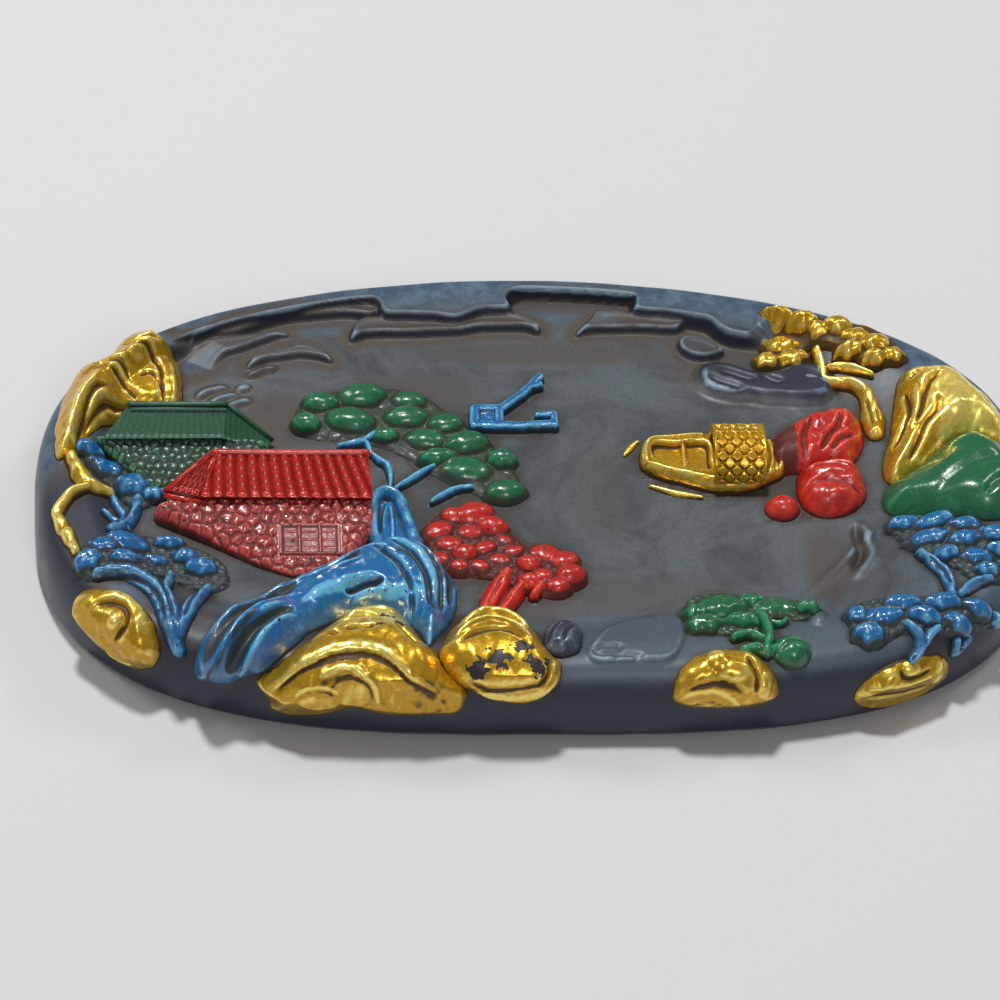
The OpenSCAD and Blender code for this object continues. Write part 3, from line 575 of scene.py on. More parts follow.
def stone_relief(x, y):
    """Carving height over the plain skin, and brown wash and navy there; navy on the bank's faces is
    painted shade.
    """
    turn = np.arctan2(y, x)
    degrees = np.degrees(turn)
    share = np.hypot(x, y) / reach_at(turn)
    plain = skin(x, y)[:, 2]
    outer = np.interp(degrees, *rounding_start)
    relief = np.zeros(len(x))
    brown = np.zeros(len(x))
    cloud_face_shade = np.zeros(len(x))

    back_from, back_to, fade = 36, 154, 5
    back = np.nonzero((degrees > 24) & (degrees < 162) & (share > 0.5))[0]
    bx, by = x[back], y[back]
    top = depth_in(bx, by, cloud_edge, closed=False)
    low = np.clip(1 - (top + 0.3) / 0.8, 0, 1)
    z = bed_height + terrace(top, rim_height - bed_height, 1.5, 0.12)
    back_brown = 0.75 * np.exp(-(((top + 1.4) / 2.2) ** 2))
    # The faces of the cloud bank and its terraces get navy as painted shade.
    bank_face_shade = 0.5 * np.exp(-(((top + 0.4) / 0.6) ** 2))
    for outline, level, lip in (
        (cloud_terrace, 1.4, 0.2), (terrace_left, 1.4, 0.2), (terrace_right, 1.4, 0.2),
        (ripple_long, 1.1, 0.1), (ripple_short, 1.1, 0.1), (cloud_blob, 1.5, 0.1),
    ):
        step = depth_in(bx, by, outline)
        z = np.maximum(z, bed_height + terrace(step, level, 0.9, lip))
        back_brown = np.maximum(back_brown, 0.7 * low * np.exp(-(((step + 0.9) / 1.6) ** 2)))
        bank_face_shade = np.maximum(bank_face_shade, 0.5 * low * np.exp(-(((step + 0.1) / 0.4) ** 2)))
    brown[back] = back_brown
    cloud_face_shade[back] = bank_face_shade
    weight = np.clip(np.minimum(degrees[back] - back_from, back_to - degrees[back]) / fade, 0, 1)
    weight = weight * np.clip((outer[back] - share[back]) / 0.01, 0, 1)
    relief[back] += weight * (z - plain[back])

    left = np.nonzero((x < -30) & (y > 5) & (share < 0.93))[0]
    lx, ly = x[left], y[left]
    ripples = np.clip(hump(lx, ly, -47.7, 21.4, 1.7, 1, 0.8, 20), 0, None)
    for line in (
        [(-55.8, 18.8), (-54, 20.4), (-51.8, 21.2), (-49.8, 21.6)],
        [(-53.8, 17.4), (-52.2, 18.6), (-50.4, 19.4), (-48, 19.8)],
        [(-51.4, 16.2), (-50, 17.3), (-47.6, 18.4), (-46, 18.4)],
        [(-47.4, 23.8), (-45.4, 24.9), (-44.1, 25.6), (-41.6, 26.2)],
    ):
        ripples = np.maximum(ripples, swell(lx, ly, line, 0.7, 0.9, 0.3))
    relief[left] += ripples
    brown[left] = np.maximum(brown[left], np.exp(-(((ripples - 0.15) / 0.2) ** 2)) * (ripples > 0.03))

    block_depth = depth_in(x, y, cloud_block)
    block = terrace(block_depth, 1.9, 2.6, 0)
    for line in (
        [(31.4, 25), (33.7, 24.2), (36.3, 23), (38, 22.6)],
        [(29.8, 24), (30.6, 23), (32.5, 21.9), (35.9, 20.6)],
        [(38.5, 24.2), (40.5, 22.6), (42.5, 22)],
    ):
        block = block + swell(x, y, line, 0.75, -0.6)
    relief += np.clip(block, 0, None)
    relief += terrace(depth_in(x, y, shelf), 0.7, 0.7, 0.1) * (share < 0.97)
    for line in (
        [(5.4, -39.2), (6.9, -38.2), (8.7, -38), (10.7, -37.9)],
        [(10.7, -37.9), (9.4, -39.2), (7.1, -39.7), (5.5, -39.3)],
        [(8.7, -40.4), (10.3, -39.9), (13.4, -40.1), (11.9, -40.6)],
    ):
        relief += swell(x, y, line, 0.4, -0.5, 0.1)
    for line, wide, high in (
        ([(40.6, -25.5), (46.1, -19.8), (51.7, -13.2), (56.3, -8.8)], 0.8, 0.5),
        ([(52.4, -7.7), (53.1, -12.4), (53.4, -15.8), (51.3, -19.2), (49.2, -21)], 1.1, 0.8),
        ([(51.2, -8.4), (51.5, -12.4), (51.4, -15.8), (49.6, -19)], 0.8, -1.0),
    ):
        relief += swell(x, y, line, wide, high)
    relief += 0.5 * np.clip(hump(x, y, 42.7, -31, 1.7, 2.2, 1.8), 0, None)
    relief += 0.06 * uneven(x, y, 5) * (share > 0.62)

    crack = [(51.2, -9), (51.5, -12.4), (51.2, -15.8), (49.4, -20)]
    brown = np.maximum(brown, swell(x, y, crack, 1.1, 1.6))
    brown = np.maximum(brown, stains(x, y, [
        (-42, 14, 12, 9, 0.55), (-20, 20, 16, 8, 0.5), (10, -2, 8, 16, 0.35), (44, 2, 14, 12, 0.6),
        (2, 30, 30, 4, 0.45), (-60, -18, 12, 14, 0.5), (10, -24, 30, 6, 0.4), (46, -18, 5, 12, 0.5),
        (-2, -24, 9, 8, 0.6), (30, 26, 10, 5, 0.5),
    ], 1.2))
    dark = stains(x, y, [(-74, -12, 11, 18, 0.75), (72, -36, 13, 8, 0.6), (-60, -34, 14, 8, 0.5)], 1.5)
    brown = np.maximum(brown, dark)
    navy = np.maximum.reduce([np.clip(block_depth / 1.5 + 0.5, 0, 1), dark, cloud_face_shade])
    return relief, brown, navy


def stone_points():
    """Plan points over the whole skin, closer together on the rim and closest on the back of it."""
    x_all, y_all = [], []
    for step, wanted in (
        (0.9, lambda s, a: s < 0.58),
        (0.5, lambda s, a: (s >= 0.58) & ((a < 25) | (a > 155) | (s < 0.64))),
        (0.27, lambda s, a: (s >= 0.64) & (a >= 25) & (a <= 155)),
    ):
        x, y = hex_points((-96, -60), (96, 60), step)
        turn = np.arctan2(y, x)
        gone = np.hypot(x, y)
        keep = (gone < full_reach(turn) - 0.3) & wanted(gone / reach_at(turn), np.degrees(turn))
        x_all.append(x[keep])
        y_all.append(y[keep])
    return np.concatenate(x_all), np.concatenate(y_all)


stone_plan, stone_faces = triangles(stone_loop, *stone_points())
relief, brown, navy = stone_relief(stone_plan[:, 0], stone_plan[:, 1])
places = skin(stone_plan[:, 0], stone_plan[:, 1])
places = places + rise_direction(stone_plan[:, 0], stone_plan[:, 1]) * relief[:, None]
places = np.clip(places, block_low, block_high)
ring = len(stone_loop)
base_faces = [(len(places), i, (i + 1) % ring) for i in range(ring)]
stone = new_piece("carved_stone", np.vstack([places, [[0, 0, 0]]]), list(stone_faces) + base_faces)
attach(stone, "root")
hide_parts("stone_slab", "front_shelf", "cloud_step_left", "cloud_step_right", "cloud_curl")
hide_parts("cloud_blob", "cloud_block", "water_ripple_upper", "water_ripple_lower")
give_values(stone, "brown", np.append(brown, 0))
give_values(stone, "navy", np.append(navy, 0))
stone_ground = places

# Colour of the stone: slate grey in the bed, bluer on the rim, painted nearly black navy on the steep sides
# as shade, with faint cloudy wisps, fine grain and brown wash where the carving is deep. Its convex edges
# are lighter, worn and painted as highlight, and its front is paler with dust and a painted sheen.
slate = bpy.data.materials.new("slate")
slate.use_nodes = True
tree = slate.node_tree
spot = node(tree, "ShaderNodeTexCoord").outputs["Object"]
parts = node(tree, "ShaderNodeSeparateXYZ", {0: spot}).outputs
facing = node(tree, "ShaderNodeNewGeometry").outputs["Normal"]
upright = node(tree, "ShaderNodeSeparateXYZ", {0: facing}).outputs[2]
wisps = noise(tree, spot, 38, 6, 0.68, 1.2)
middle = noise(tree, spot, 300, 5, 0.65)
grain = noise(tree, spot, 2600, 3, 0.6)
hollow = node(tree, "ShaderNodeAttribute", attribute_name="hollow").outputs["Fac"]
brown_mask = node(tree, "ShaderNodeAttribute", attribute_name="brown").outputs["Fac"]
rim_mask = node(tree, "ShaderNodeAttribute", attribute_name="rim").outputs["Fac"]
dark_bed, pale_bed = paint_colour(0.21, 0.232, 0.245), paint_colour(0.32, 0.352, 0.372)
colour = mixed(tree, between(tree, wisps, 0.36, 0.66), dark_bed, pale_bed)
dark_rim, pale_rim = paint_colour(0.22, 0.3, 0.38), paint_colour(0.31, 0.4, 0.48)
rim_colour = mixed(tree, between(tree, middle, 0.35, 0.65), dark_rim, pale_rim)
colour = mixed(tree, rim_mask, colour, rim_colour)
# The front of the stone is paler: dust, and a painted sheen on the front rim.
dust_and_sheen = between(tree, sum_of(tree, (parts[1], -22.0), (wisps, 0.9)), 0.95, 1.25)
colour = mixed(tree, dust_and_sheen, colour, paint_colour(0.28, 0.325, 0.37))
brown_wash = sum_of(tree, (brown_mask, 1.0), (wisps, 1.0), (middle, 0.5))
colour = mixed(tree, between(tree, brown_wash, 0.8, 1.5), colour, paint_colour(0.27, 0.24, 0.205))
# Painted shade: the steep sides are painted nearly black navy.
side_shade_mask = between(tree, upright, 0.72, 0.3)
colour = mixed(tree, side_shade_mask, colour, paint_colour(0.13, 0.155, 0.23))
# Navy: the cloud block and the dark stains, and painted shade on the faces of the cloud bank and terraces.
navy_mask = node(tree, "ShaderNodeAttribute", attribute_name="navy").outputs["Fac"]
navy_mask = between(tree, sum_of(tree, (navy_mask, 1.0), (middle, 0.4)), 0.5, 1.0)
colour = mixed(tree, navy_mask, colour, paint_colour(0.13, 0.16, 0.22))
# Convex edges are lighter: wear, and a painted highlight.
worn_and_highlit_edge = between(tree, sum_of(tree, (hollow, 1.0), (middle, 0.6)), 0.06, -0.4)
colour = mixed(tree, worn_and_highlit_edge, colour, paint_colour(0.44, 0.52, 0.59))
# Dark brown in the deep carving and round the feet of the motifs: old wash, and painted contact shade.
deep = sum_of(tree, (hollow, 1.1), (middle, 0.8))
colour = mixed(tree, between(tree, deep, 0.55, 1.2), colour, paint_colour(0.21, 0.18, 0.15))
values = {"Color": colour, "Value": between(tree, grain, 0.3, 0.7, 0.88, 1.12)}
colour = node(tree, "ShaderNodeHueSaturation", values).outputs[0]
shader = tree.nodes["Principled BSDF"]
tree.links.new(colour, shader.inputs["Base Color"])
rough = sum_of(tree, (middle, 0.25), (brown_mask, 0.12), (side_shade_mask, -0.1), (grain, 0.12))
values = {0: rough, 1: 0.24}
tree.links.new(node(tree, "ShaderNodeMath", values, operation="ADD").outputs[0], shader.inputs["Roughness"])
values = {"Height": sum_of(tree, (grain, 0.6), (middle, 0.5)), "Strength": 0.4, "Distance": 0.08 * mm}
tree.links.new(node(tree, "ShaderNodeBump", values).outputs[0], shader.inputs["Normal"])
stone.data.materials.append(slate)
turn = np.arctan2(stone_plan[:, 1], stone_plan[:, 0])
share = np.hypot(stone_plan[:, 0], stone_plan[:, 1]) / reach_at(turn)
give_values(stone, "rim", np.append(np.clip((share - 0.8) / 0.12, 0, 1), 0))


# Gold rock at the back left: a leaning crag carved from the same block, painted gold over black,
# with long grooves down its left side and a folded top. Each crag is a height over the stone's skin.
motif_heights = []
motif_low, motif_high = (-81.9, -45.6, 0.1), (81.9, 45.4, 20.5)
cut_off, root_depth = 0.3, 0.7


def lattice(low, high, step):
    """Evenly spread points and the triangles between them."""
    rows = int((high[1] - low[1]) / (step * row_gap)) + 2
    columns = int((high[0] - low[0]) / step) + 2
    r, c = np.mgrid[0:rows, 0:columns]
    x = low[0] + (c + (r % 2) / 2) * step
    y = low[1] + r * step * row_gap
    i = r * columns + c
    a, b, d, e = i[:-1, :-1], i[:-1, 1:], i[1:, :-1], i[1:, 1:]
    even = (r[:-1, :-1] % 2 == 0)[..., None]
    first = np.where(even, np.stack([a, b, d], -1), np.stack([a, b, e], -1))
    second = np.where(even, np.stack([b, e, d], -1), np.stack([a, e, d], -1))
    return x.ravel(), y.ravel(), np.vstack([first.reshape(-1, 3), second.reshape(-1, 3)])


def carve(low, high, field, step=0.24, deep=0.3, shade=None, bare=None):
    """A closed mesh standing on the stone wherever the field is above zero, lower near the stone's foot."""
    motif_heights.append((low, high, field))
    x, y, faces = lattice(low, high, step)
    h = field(x, y)
    faces = faces[(h[faces] > -cut_off).all(1)]
    used = np.unique(faces)
    number = np.zeros(len(x), int)
    number[used] = np.arange(len(used))
    faces, x, y, h = number[faces], x[used], y[used], h[used]
    ground = skin(x, y)
    way = rise_direction(x, y)
    foot_height, full_rise_over, least_share = 2.5, 9, 0.12
    room = np.clip((ground[:, 2] - foot_height) / full_rise_over, least_share, 1)
    top = ground + way * np.where(h > 0, h * room, 2 * h)[:, None]
    under = ground - way * root_depth
    points = np.clip(np.vstack([top, under]), motif_low, motif_high)
    n = len(x)
    sides = np.vstack([faces[:, [0, 1]], faces[:, [1, 2]], faces[:, [2, 0]]])
    key = sides.min(1) * n + sides.max(1)
    _, first, count = np.unique(key, return_index=True, return_counts=True)
    a, b = sides[first[count == 1]].T
    walls = np.vstack([np.stack([b, a, a + n], -1), np.stack([b, a + n, b + n], -1)])
    values = np.stack([hollows(h, faces, 7, deep), np.zeros(n)])
    if shade is not None:
        values[0] = np.clip(values[0] + shade(x, y, h), -1, 1)
    if bare is not None:
        values[1] = bare(x, y)
    return points, np.vstack([faces, faces[:, ::-1] + n, walls]), np.tile(values, 2)


def build(name, parts, material):
    """Joins closed parts into one painted piece, which takes the place of the solid of the same name."""
    places, faces, values = [], [], []
    count = 0
    for part_places, part_faces, part_values in parts:
        places.append(part_places)
        faces.append(np.asarray(part_faces) + count)
        values.append(part_values)
        count += len(part_places)
    piece = new_piece(name, np.vstack(places), np.vstack(faces).tolist())
    hollow, bare = np.hstack(values)
    give_values(piece, "hollow", hollow)
    give_values(piece, "bare", bare)
    piece.data.materials.append(material)
    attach(piece, "root")
    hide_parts(name)


def motif(name, material, slot_name, low, high, field, **how):
    """One motif, carved between two corners of the plan wherever its field is above zero."""
    build(name, [carve(low, high, field, **how)], material)


def worked(x, y, h, folds, waves):
    """Adds raised or cut folds to a height, and the unevenness of a small chisel and thick paint."""
    for fold in folds:
        h = h + swell(x, y, *fold)
    for much, size, seed in waves:
        h = h + much * uneven(x, y, size, seed)
    return h


def mound(outline, high, shoulder, power=2.4, folds=(), lumps=(), waves=()):
    """A rounded mass over an outline, with folds, round lumps and an uneven surface."""
    def field(x, y):
        h = body(x, y, outline, high, shoulder, power)
        for lump in lumps:
            h += np.clip(hump(x, y, *lump), 0, None)
        return worked(x, y, h, folds, waves)
    return field


gold = paint(
    "gold paint", (0.8, 0.62, 0.13), (1.0, 0.89, 0.46), (0.29, 0.2, 0.03), (0.16, 0.14, 0.14),
    amount=1.0, chips=0.12, gloss=0.15, metal=0.65, coat=0.25, relief=0.1,
)


motif("gold_rock_back_left", gold, "gold_paint", (-79.5, 0), (-56, 34), mound([
    (-78.4, 2.5), (-78.9, 8), (-78.4, 11.8), (-77.6, 15.3), (-76.2, 19), (-74.4, 22.2), (-71.7, 24.2),
    (-70.1, 25.4), (-68, 28.2), (-65.8, 30.2), (-63.6, 31.2), (-61.6, 31), (-60.2, 29.2), (-59, 27.8),
    (-58.1, 26.6), (-57.6, 23.1), (-57.6, 18.6), (-58.6, 15), (-62.7, 13.6), (-66.5, 13.6), (-69.6, 12.4),
    (-71.6, 10.6), (-73.4, 7.5), (-75, 4),
], 4.4, 4.6, 2.0, folds=[
    ([(-76.1, 6.3), (-75.5, 10.5), (-74.1, 14.4), (-72.2, 17.5), (-70.5, 18.9)], 0.8, 0.9),
    ([(-75.4, 4.6), (-74.4, 8.8), (-73.2, 13.2), (-71.8, 15.6), (-69.8, 16.4)], 0.5, -1.1),
    ([(-74.3, 6.6), (-73.2, 10.1), (-71.4, 13.2), (-69.6, 14.6), (-66, 15)], 0.45, -0.9),
    ([(-69.9, 19.5), (-69, 19.6), (-67, 18), (-65.3, 16.1)], 0.5, -1),
    ([(-65.9, 24.6), (-64.3, 25.6), (-62.9, 25), (-61.4, 22.6), (-61.2, 19.1), (-60.9, 15)], 0.5, -1.1),
    ([(-59.7, 25.3), (-59, 19.6), (-59.4, 15.4)], 0.6, 0.8),
    ([(-64.9, 20.4), (-63.6, 21.4), (-62.5, 21), (-61.8, 19.4)], 0.4, -0.7),
    ([(-67.4, 25.6), (-65.7, 26.4), (-63.2, 27.4), (-61.2, 27.8)], 0.5, -0.8),
    ([(-72.6, 20.6), (-70.2, 21.6), (-67.6, 21), (-66.4, 19.4)], 0.5, -0.8),
], lumps=[(-65.3, 23.4, 1.7, 1.5, 0.7), (-68.4, 22.8, 1.8, 1.3, 0.6)],
    waves=[(0.16, 1.8, 0.4), (0.08, 0.7, 1.2)]))


# Gold rock at the front left, beside the blue tree: three leaning slabs of rock, cut from the rounded
# edge of the block and painted gold over black.
motif("gold_rock_front_left", gold, "gold_paint", (-80, -41), (-59, -18), mound([
    (-77.7, -26), (-75.4, -24.6), (-72.4, -24.8), (-69.3, -26), (-66.4, -28), (-63.8, -31.2),
    (-62.8, -34.6), (-63.4, -36.8), (-66, -38), (-69.4, -38), (-72.6, -37), (-75.4, -34.6), (-77.4, -31.4),
    (-78.2, -28.4),
], 3.4, 3.2, 2.0, folds=[
    ([(-75.4, -25.6), (-73.2, -28.6), (-71.2, -32.2), (-70.4, -35)], 0.8, -0.3),
    ([(-71.6, -28), (-69.4, -28.8), (-67.2, -30.2), (-66.8, -32), (-69.2, -32.8)], 0.5, -1.0),
    ([(-71, -26.8), (-68, -27.6), (-65.2, -30.4), (-64.8, -34)], 0.8, 0.8),
    ([(-73.4, -33.2), (-72, -35.2), (-69.6, -36.6)], 0.6, 0.9),
], lumps=[(-68.4, -31, 1.1, 0.9, 0.7)], waves=[(0.14, 1.8, 2.2), (0.08, 0.7, 0.3)]))


# Gold rock in the middle of the front: a broad fold of rock that hangs over the rounded edge,
# with a step under the fold and three spots on top where the paint is worn off.
def glow(x, y, *spots):
    """Soft oval spots, 1 in the middle of each."""
    return sum(np.exp(-(((x - cx) / rx) ** 2 + ((y - cy) / ry) ** 2)) for cx, cy, rx, ry in spots)


centre_fold = [
    (-46.4, -43.6), (-41.3, -41.5), (-38.2, -40.9), (-34.8, -40.5), (-31.3, -40.5), (-28.2, -40.9),
    (-25.1, -42.1), (-22.6, -43.6), (-19.2, -45.6),
]
centre_crag = mound([
    (-48.5, -42.6), (-48.4, -45.2), (-49.2, -47), (-47.1, -48.3), (-42.2, -48.8), (-37.7, -48.4),
    (-34.2, -47.8), (-30.5, -49.1), (-26.3, -49.7), (-22, -49.6), (-17.6, -49.6), (-15.4, -48),
    (-14.7, -45), (-17.5, -42.1), (-19.3, -38.6), (-21.2, -36), (-22, -32.5), (-23.4, -28.6),
    (-25, -27), (-27.4, -26.4), (-30.4, -27), (-33.3, -28.6), (-35.4, -31.3), (-38.5, -36),
    (-41.3, -38.6), (-44.1, -40.7),
], 4, 5.2, 2.2, folds=[
    ([(px, py + 0.5) for px, py in centre_fold], 0.6, 0.35),
    ([
        (-37.8, -42.4), (-35.9, -41.9), (-33.2, -41.8), (-30.9, -42.4), (-29.6, -43.6), (-29.2, -45),
        (-29.6, -47),
    ], 0.5, 0.9),
    ([(-42.4, -44), (-39.8, -43.4), (-36.6, -43.7), (-35.1, -44.8)], 0.5, 0.8),
    ([(-28.6, -47.8), (-28, -45.4), (-26.4, -43.6)], 1.0, -0.5),
    ([(-26, -44.6), (-22.6, -46), (-18.6, -48)], 0.9, 0.5),
    ([(-33.4, -32.4), (-30.4, -30.6), (-27.2, -30), (-25, -31.6)], 0.6, 0.7),
    ([(-34.2, -34.8), (-31.8, -33), (-29.4, -32.4), (-27.4, -33.4)], 0.55, -1.1),
    ([(-33.6, -37.2), (-30.8, -36.6), (-28.4, -36.3)], 0.5, -0.8),
    ([(-25.4, -34.8), (-24.2, -37), (-21.6, -40)], 0.5, -0.7),
    ([(-38.6, -38), (-36.4, -37.4), (-34.4, -38.4)], 0.5, -0.6),
], lumps=[(-33.2, -44.8, 3.2, 2.2, 1.5), (-39, -45.6, 3.4, 1.9, 1.2)],
    waves=[(0.12, 2.2, 1.1), (0.07, 0.7, 2.3)])


def centre_crag_bare(x, y):
    """Where the paint is worn through to the black."""
    return 0.8 * glow(x, y, (-26.4, -33.4, 1.6, 1.2), (-27.6, -36.2, 1.2, 0.8), (-24.4, -35.6, 0.9, 0.9))


def centre_crag_painted_light(x, y, h):
    """Painted highlight, pale on the top, and painted shade, dull at the lower right."""
    return 0.35 * glow(x, y, (-20, -46, 5, 4)) - 0.6 * glow(x, y, (-29, -32, 6, 4))


motif(
    "gold_rock_front_centre", gold, "gold_paint", (-51, -52), (-13, -25),
    lambda x, y: centre_crag(x, y) + ledge(x, y, centre_fold, 0.95, 5.5),
    shade=centre_crag_painted_light, bare=centre_crag_bare,
)


# Small gold rock beside it: a smooth lump with three ridges on top, a worn black middle
# and a broad gold lip round its lower right side.
def small_crag_bare(x, y):
    """Where the paint is worn through to the black."""
    left_spots = glow(x, y, (-9.4, -41.6, 2.6, 1.1), (-13.2, -42.6, 1.8, 0.9))
    return left_spots + glow(x, y, (-3.2, -42, 2, 1.3), (-5.6, -40.2, 1.6, 0.7))


motif("gold_rock_front_small", gold, "gold_paint", (-20.5, -50), (2.5, -26.5), mound([
    (-17.9, -37.1), (-16.6, -33.5), (-14.8, -30.9), (-13.5, -28.7), (-10.6, -28), (-7.5, -28.3),
    (-4.8, -30.1), (-3.1, -33.3), (-1.9, -37.1), (-0.5, -39.7), (0.8, -41.1), (0.7, -43.5), (-1, -45.5),
    (-3.4, -47.2), (-6.7, -47.6), (-10.8, -46.8), (-13.9, -45.4), (-15.5, -44.8), (-17.2, -43.2),
    (-18.3, -41.4), (-18.8, -39.2),
], 4.2, 4.6, 2.2, folds=[
    ([(-15, -34.2), (-12, -31.8), (-8.8, -31.6), (-5.8, -33.5), (-4.1, -36)], 0.7, 0.9),
    ([
        (-16.3, -38.6), (-13.9, -36.3), (-10.6, -34.6), (-8.3, -35.2), (-6.1, -36.9), (-3.5, -39.4),
    ], 0.6, 0.9),
    ([(-15.8, -36.2), (-12.6, -34), (-9.4, -33.2), (-6.4, -34.8), (-4.4, -37.4)], 0.5, -0.9),
    ([(-15.8, -40), (-12.4, -38.1), (-9.2, -37.4), (-6.5, -38.4), (-4.2, -40.6)], 0.5, -0.7),
    ([
        (-14.3, -43.6), (-10.8, -44.7), (-6.8, -44.7), (-3.2, -43.9), (-1.4, -42.3), (-0.9, -40.8),
    ], 0.55, -1.1),
    ([(-13.8, -45.2), (-9.6, -46.2), (-5.6, -46.4), (-1.9, -45.2), (0, -43.4), (0.3, -41.6)], 0.7, 0.9),
], waves=[(0.1, 2.2, 3.1), (0.06, 0.7, 1.3)]), bare=small_crag_bare)


# Gold rock under the green tree: a low mound over the edge with curved ridges and small lumps,
# cut from the block and painted gold; the dark wash stays in its grooves.
motif("gold_rock_front_mid", gold, "gold_paint", (17.5, -50), (38.5, -36.5), mound([
    (18.9, -45), (19.4, -42.4), (21.3, -40.4), (24.4, -39), (27.1, -38.6), (30.6, -39), (33, -40.6),
    (35.2, -42.8), (37, -45.4), (35.4, -47.2), (32.1, -48), (26.9, -48.4), (22, -48), (19.6, -47),
], 2.7, 3.2, 2.2, folds=[
    ([(20.3, -45), (22.4, -44.2), (25.2, -43.7), (28.4, -44.1), (30.8, -45.2)], 0.6, -0.7),
    ([(20.4, -46.2), (23.2, -45.2), (26.2, -45), (28.8, -46), (31, -47)], 0.6, 0.6),
    ([(23, -47.6), (25.6, -46.6), (28, -47.2)], 0.5, -0.5),
    ([(29.8, -40.8), (31.4, -42.4), (32.2, -44.6)], 0.5, -0.7),
], lumps=[(25.2, -41, 1.8, 1.3, 0.8), (27.8, -42.3, 2.8, 1.2, 0.7), (33.4, -43.6, 1.4, 1.8, 0.6)],
    waves=[(0.1, 2, 4.1), (0.06, 0.7, 2.9)]))


# Gold rock at the front right, under the lower blue pine: a long low fold over the edge with small
# lumps along its top, cut from the block and painted gold.
motif("gold_rock_front_right", gold, "gold_paint", (48.5, -48), (72.5, -33.5), mound([
    (51, -43.4), (52.6, -41), (54.9, -39.4), (57.9, -38.3), (61, -37.3), (64.4, -36.9), (68, -37.6),
    (70, -39.2), (68.6, -41.6), (65.6, -43.9), (61.4, -45.7), (56.8, -46.4), (52.4, -45.6),
], 2.6, 3.2, 2.2, folds=[
    ([(52, -42.9), (55.1, -42), (58.9, -41.1), (62, -39.8), (64.4, -39.2)], 0.6, 0.7),
    ([(55.9, -39.6), (57.4, -40.6), (60, -40.1), (62.2, -38.6)], 0.5, -0.7),
    ([(53.4, -44), (57.6, -43.2), (61.8, -42.2), (65.6, -40.6)], 0.5, -0.8),
], lumps=[
    (54.6, -40.9, 1.6, 1.3, 0.7), (58.2, -39.2, 1.7, 1.1, 0.6), (63.9, -38.3, 1.5, 1.1, 0.7),
    (66.6, -39.6, 1.6, 1.2, 0.6),
], waves=[(0.1, 2, 5.1), (0.06, 0.7, 3.9)]))


# Gold rock at the right: a tall smooth crag with long folds, above the green rock. It is cut from the
# block and painted gold, and a paler painted highlight lies on the middle of it.
motif("gold_rock_right", gold, "gold_paint", (55, -3), (80, 26), mound([
    (61, 20.4), (62, 22.4), (64, 23.4), (66.6, 23.6), (69.7, 23.4), (72.1, 21.9), (74.3, 19), (76.3, 15.9),
    (77.9, 12), (78.2, 7.6), (77.4, 4.6), (75.4, 6.6), (73.3, 8.2), (70.4, 7.9), (67.8, 6.2), (65.6, 4.4),
    (62.6, 2), (60.8, 0.5), (58.4, -0.4), (57, 1.6), (57.6, 6), (59.1, 10.9), (60, 15.6),
], 4.6, 4.4, 2.0, folds=[
    ([(62.7, 19.1), (64.4, 20.4), (66.3, 20.9), (69, 20)], 0.6, -1.0),
    ([(68.4, 19.6), (66.2, 17.6), (65, 15.3), (64, 12.4), (62.6, 9)], 0.55, -1.1),
    ([(61.9, 17.2), (62.3, 13), (61.1, 9.7), (59, 5.6)], 0.5, -1.0),
    ([(66.9, 14.4), (66.5, 11.6), (64.4, 9), (62.6, 5.4), (60.8, 2.4)], 0.55, -1.0),
    ([(71.4, 20.4), (74, 16.6), (76, 12)], 0.5, -0.6),
    ([(63.4, 17.4), (63.4, 12.6), (61.8, 8)], 0.6, 0.7),
], lumps=[(69.6, 12.8, 2.2, 3.2, 0.5, 30)], waves=[(0.12, 2.4, 6.1), (0.06, 0.7, 4.9)]),
    shade=lambda x, y, h: -0.7 * glow(x, y, (71, 14, 5, 7)))


# Gold twigs at the far left, between the gold rock and the blue trees.
# Each limb is a line, its half widths from end to end, and its height.
def limbs(soft, bands, folds=(), waves=()):
    """Rounded limbs that run into each other, with cut folds and an uneven surface."""
    def field(x, y):
        h = band(x, y, *bands[0])
        for limb in bands[1:]:
            h = join(h, band(x, y, *limb), soft)
        return worked(x, y, h, folds, waves)
    return field


motif("gold_branch_left", gold, "gold_paint", (-80, -20), (-69.5, 4), limbs(0.3, [
    ([(-76, 2.6), (-74.8, -0.6), (-73.4, -2.8), (-71, -3), (-68.6, -3.8)], [1.3, 1.6, 2.1, 1.6, 0.8], 2.1),
    ([
        (-73.6, -4), (-76.2, -5.5), (-77.5, -7.5), (-78.2, -9.8), (-77.4, -12.6), (-76.2, -15.2),
        (-75.2, -18.1),
    ], [0.9, 1.2, 1.3, 1.1, 1.4, 1.2, 0.8], 1.9),
], waves=[(0.35, 1.3, 0.8)]))


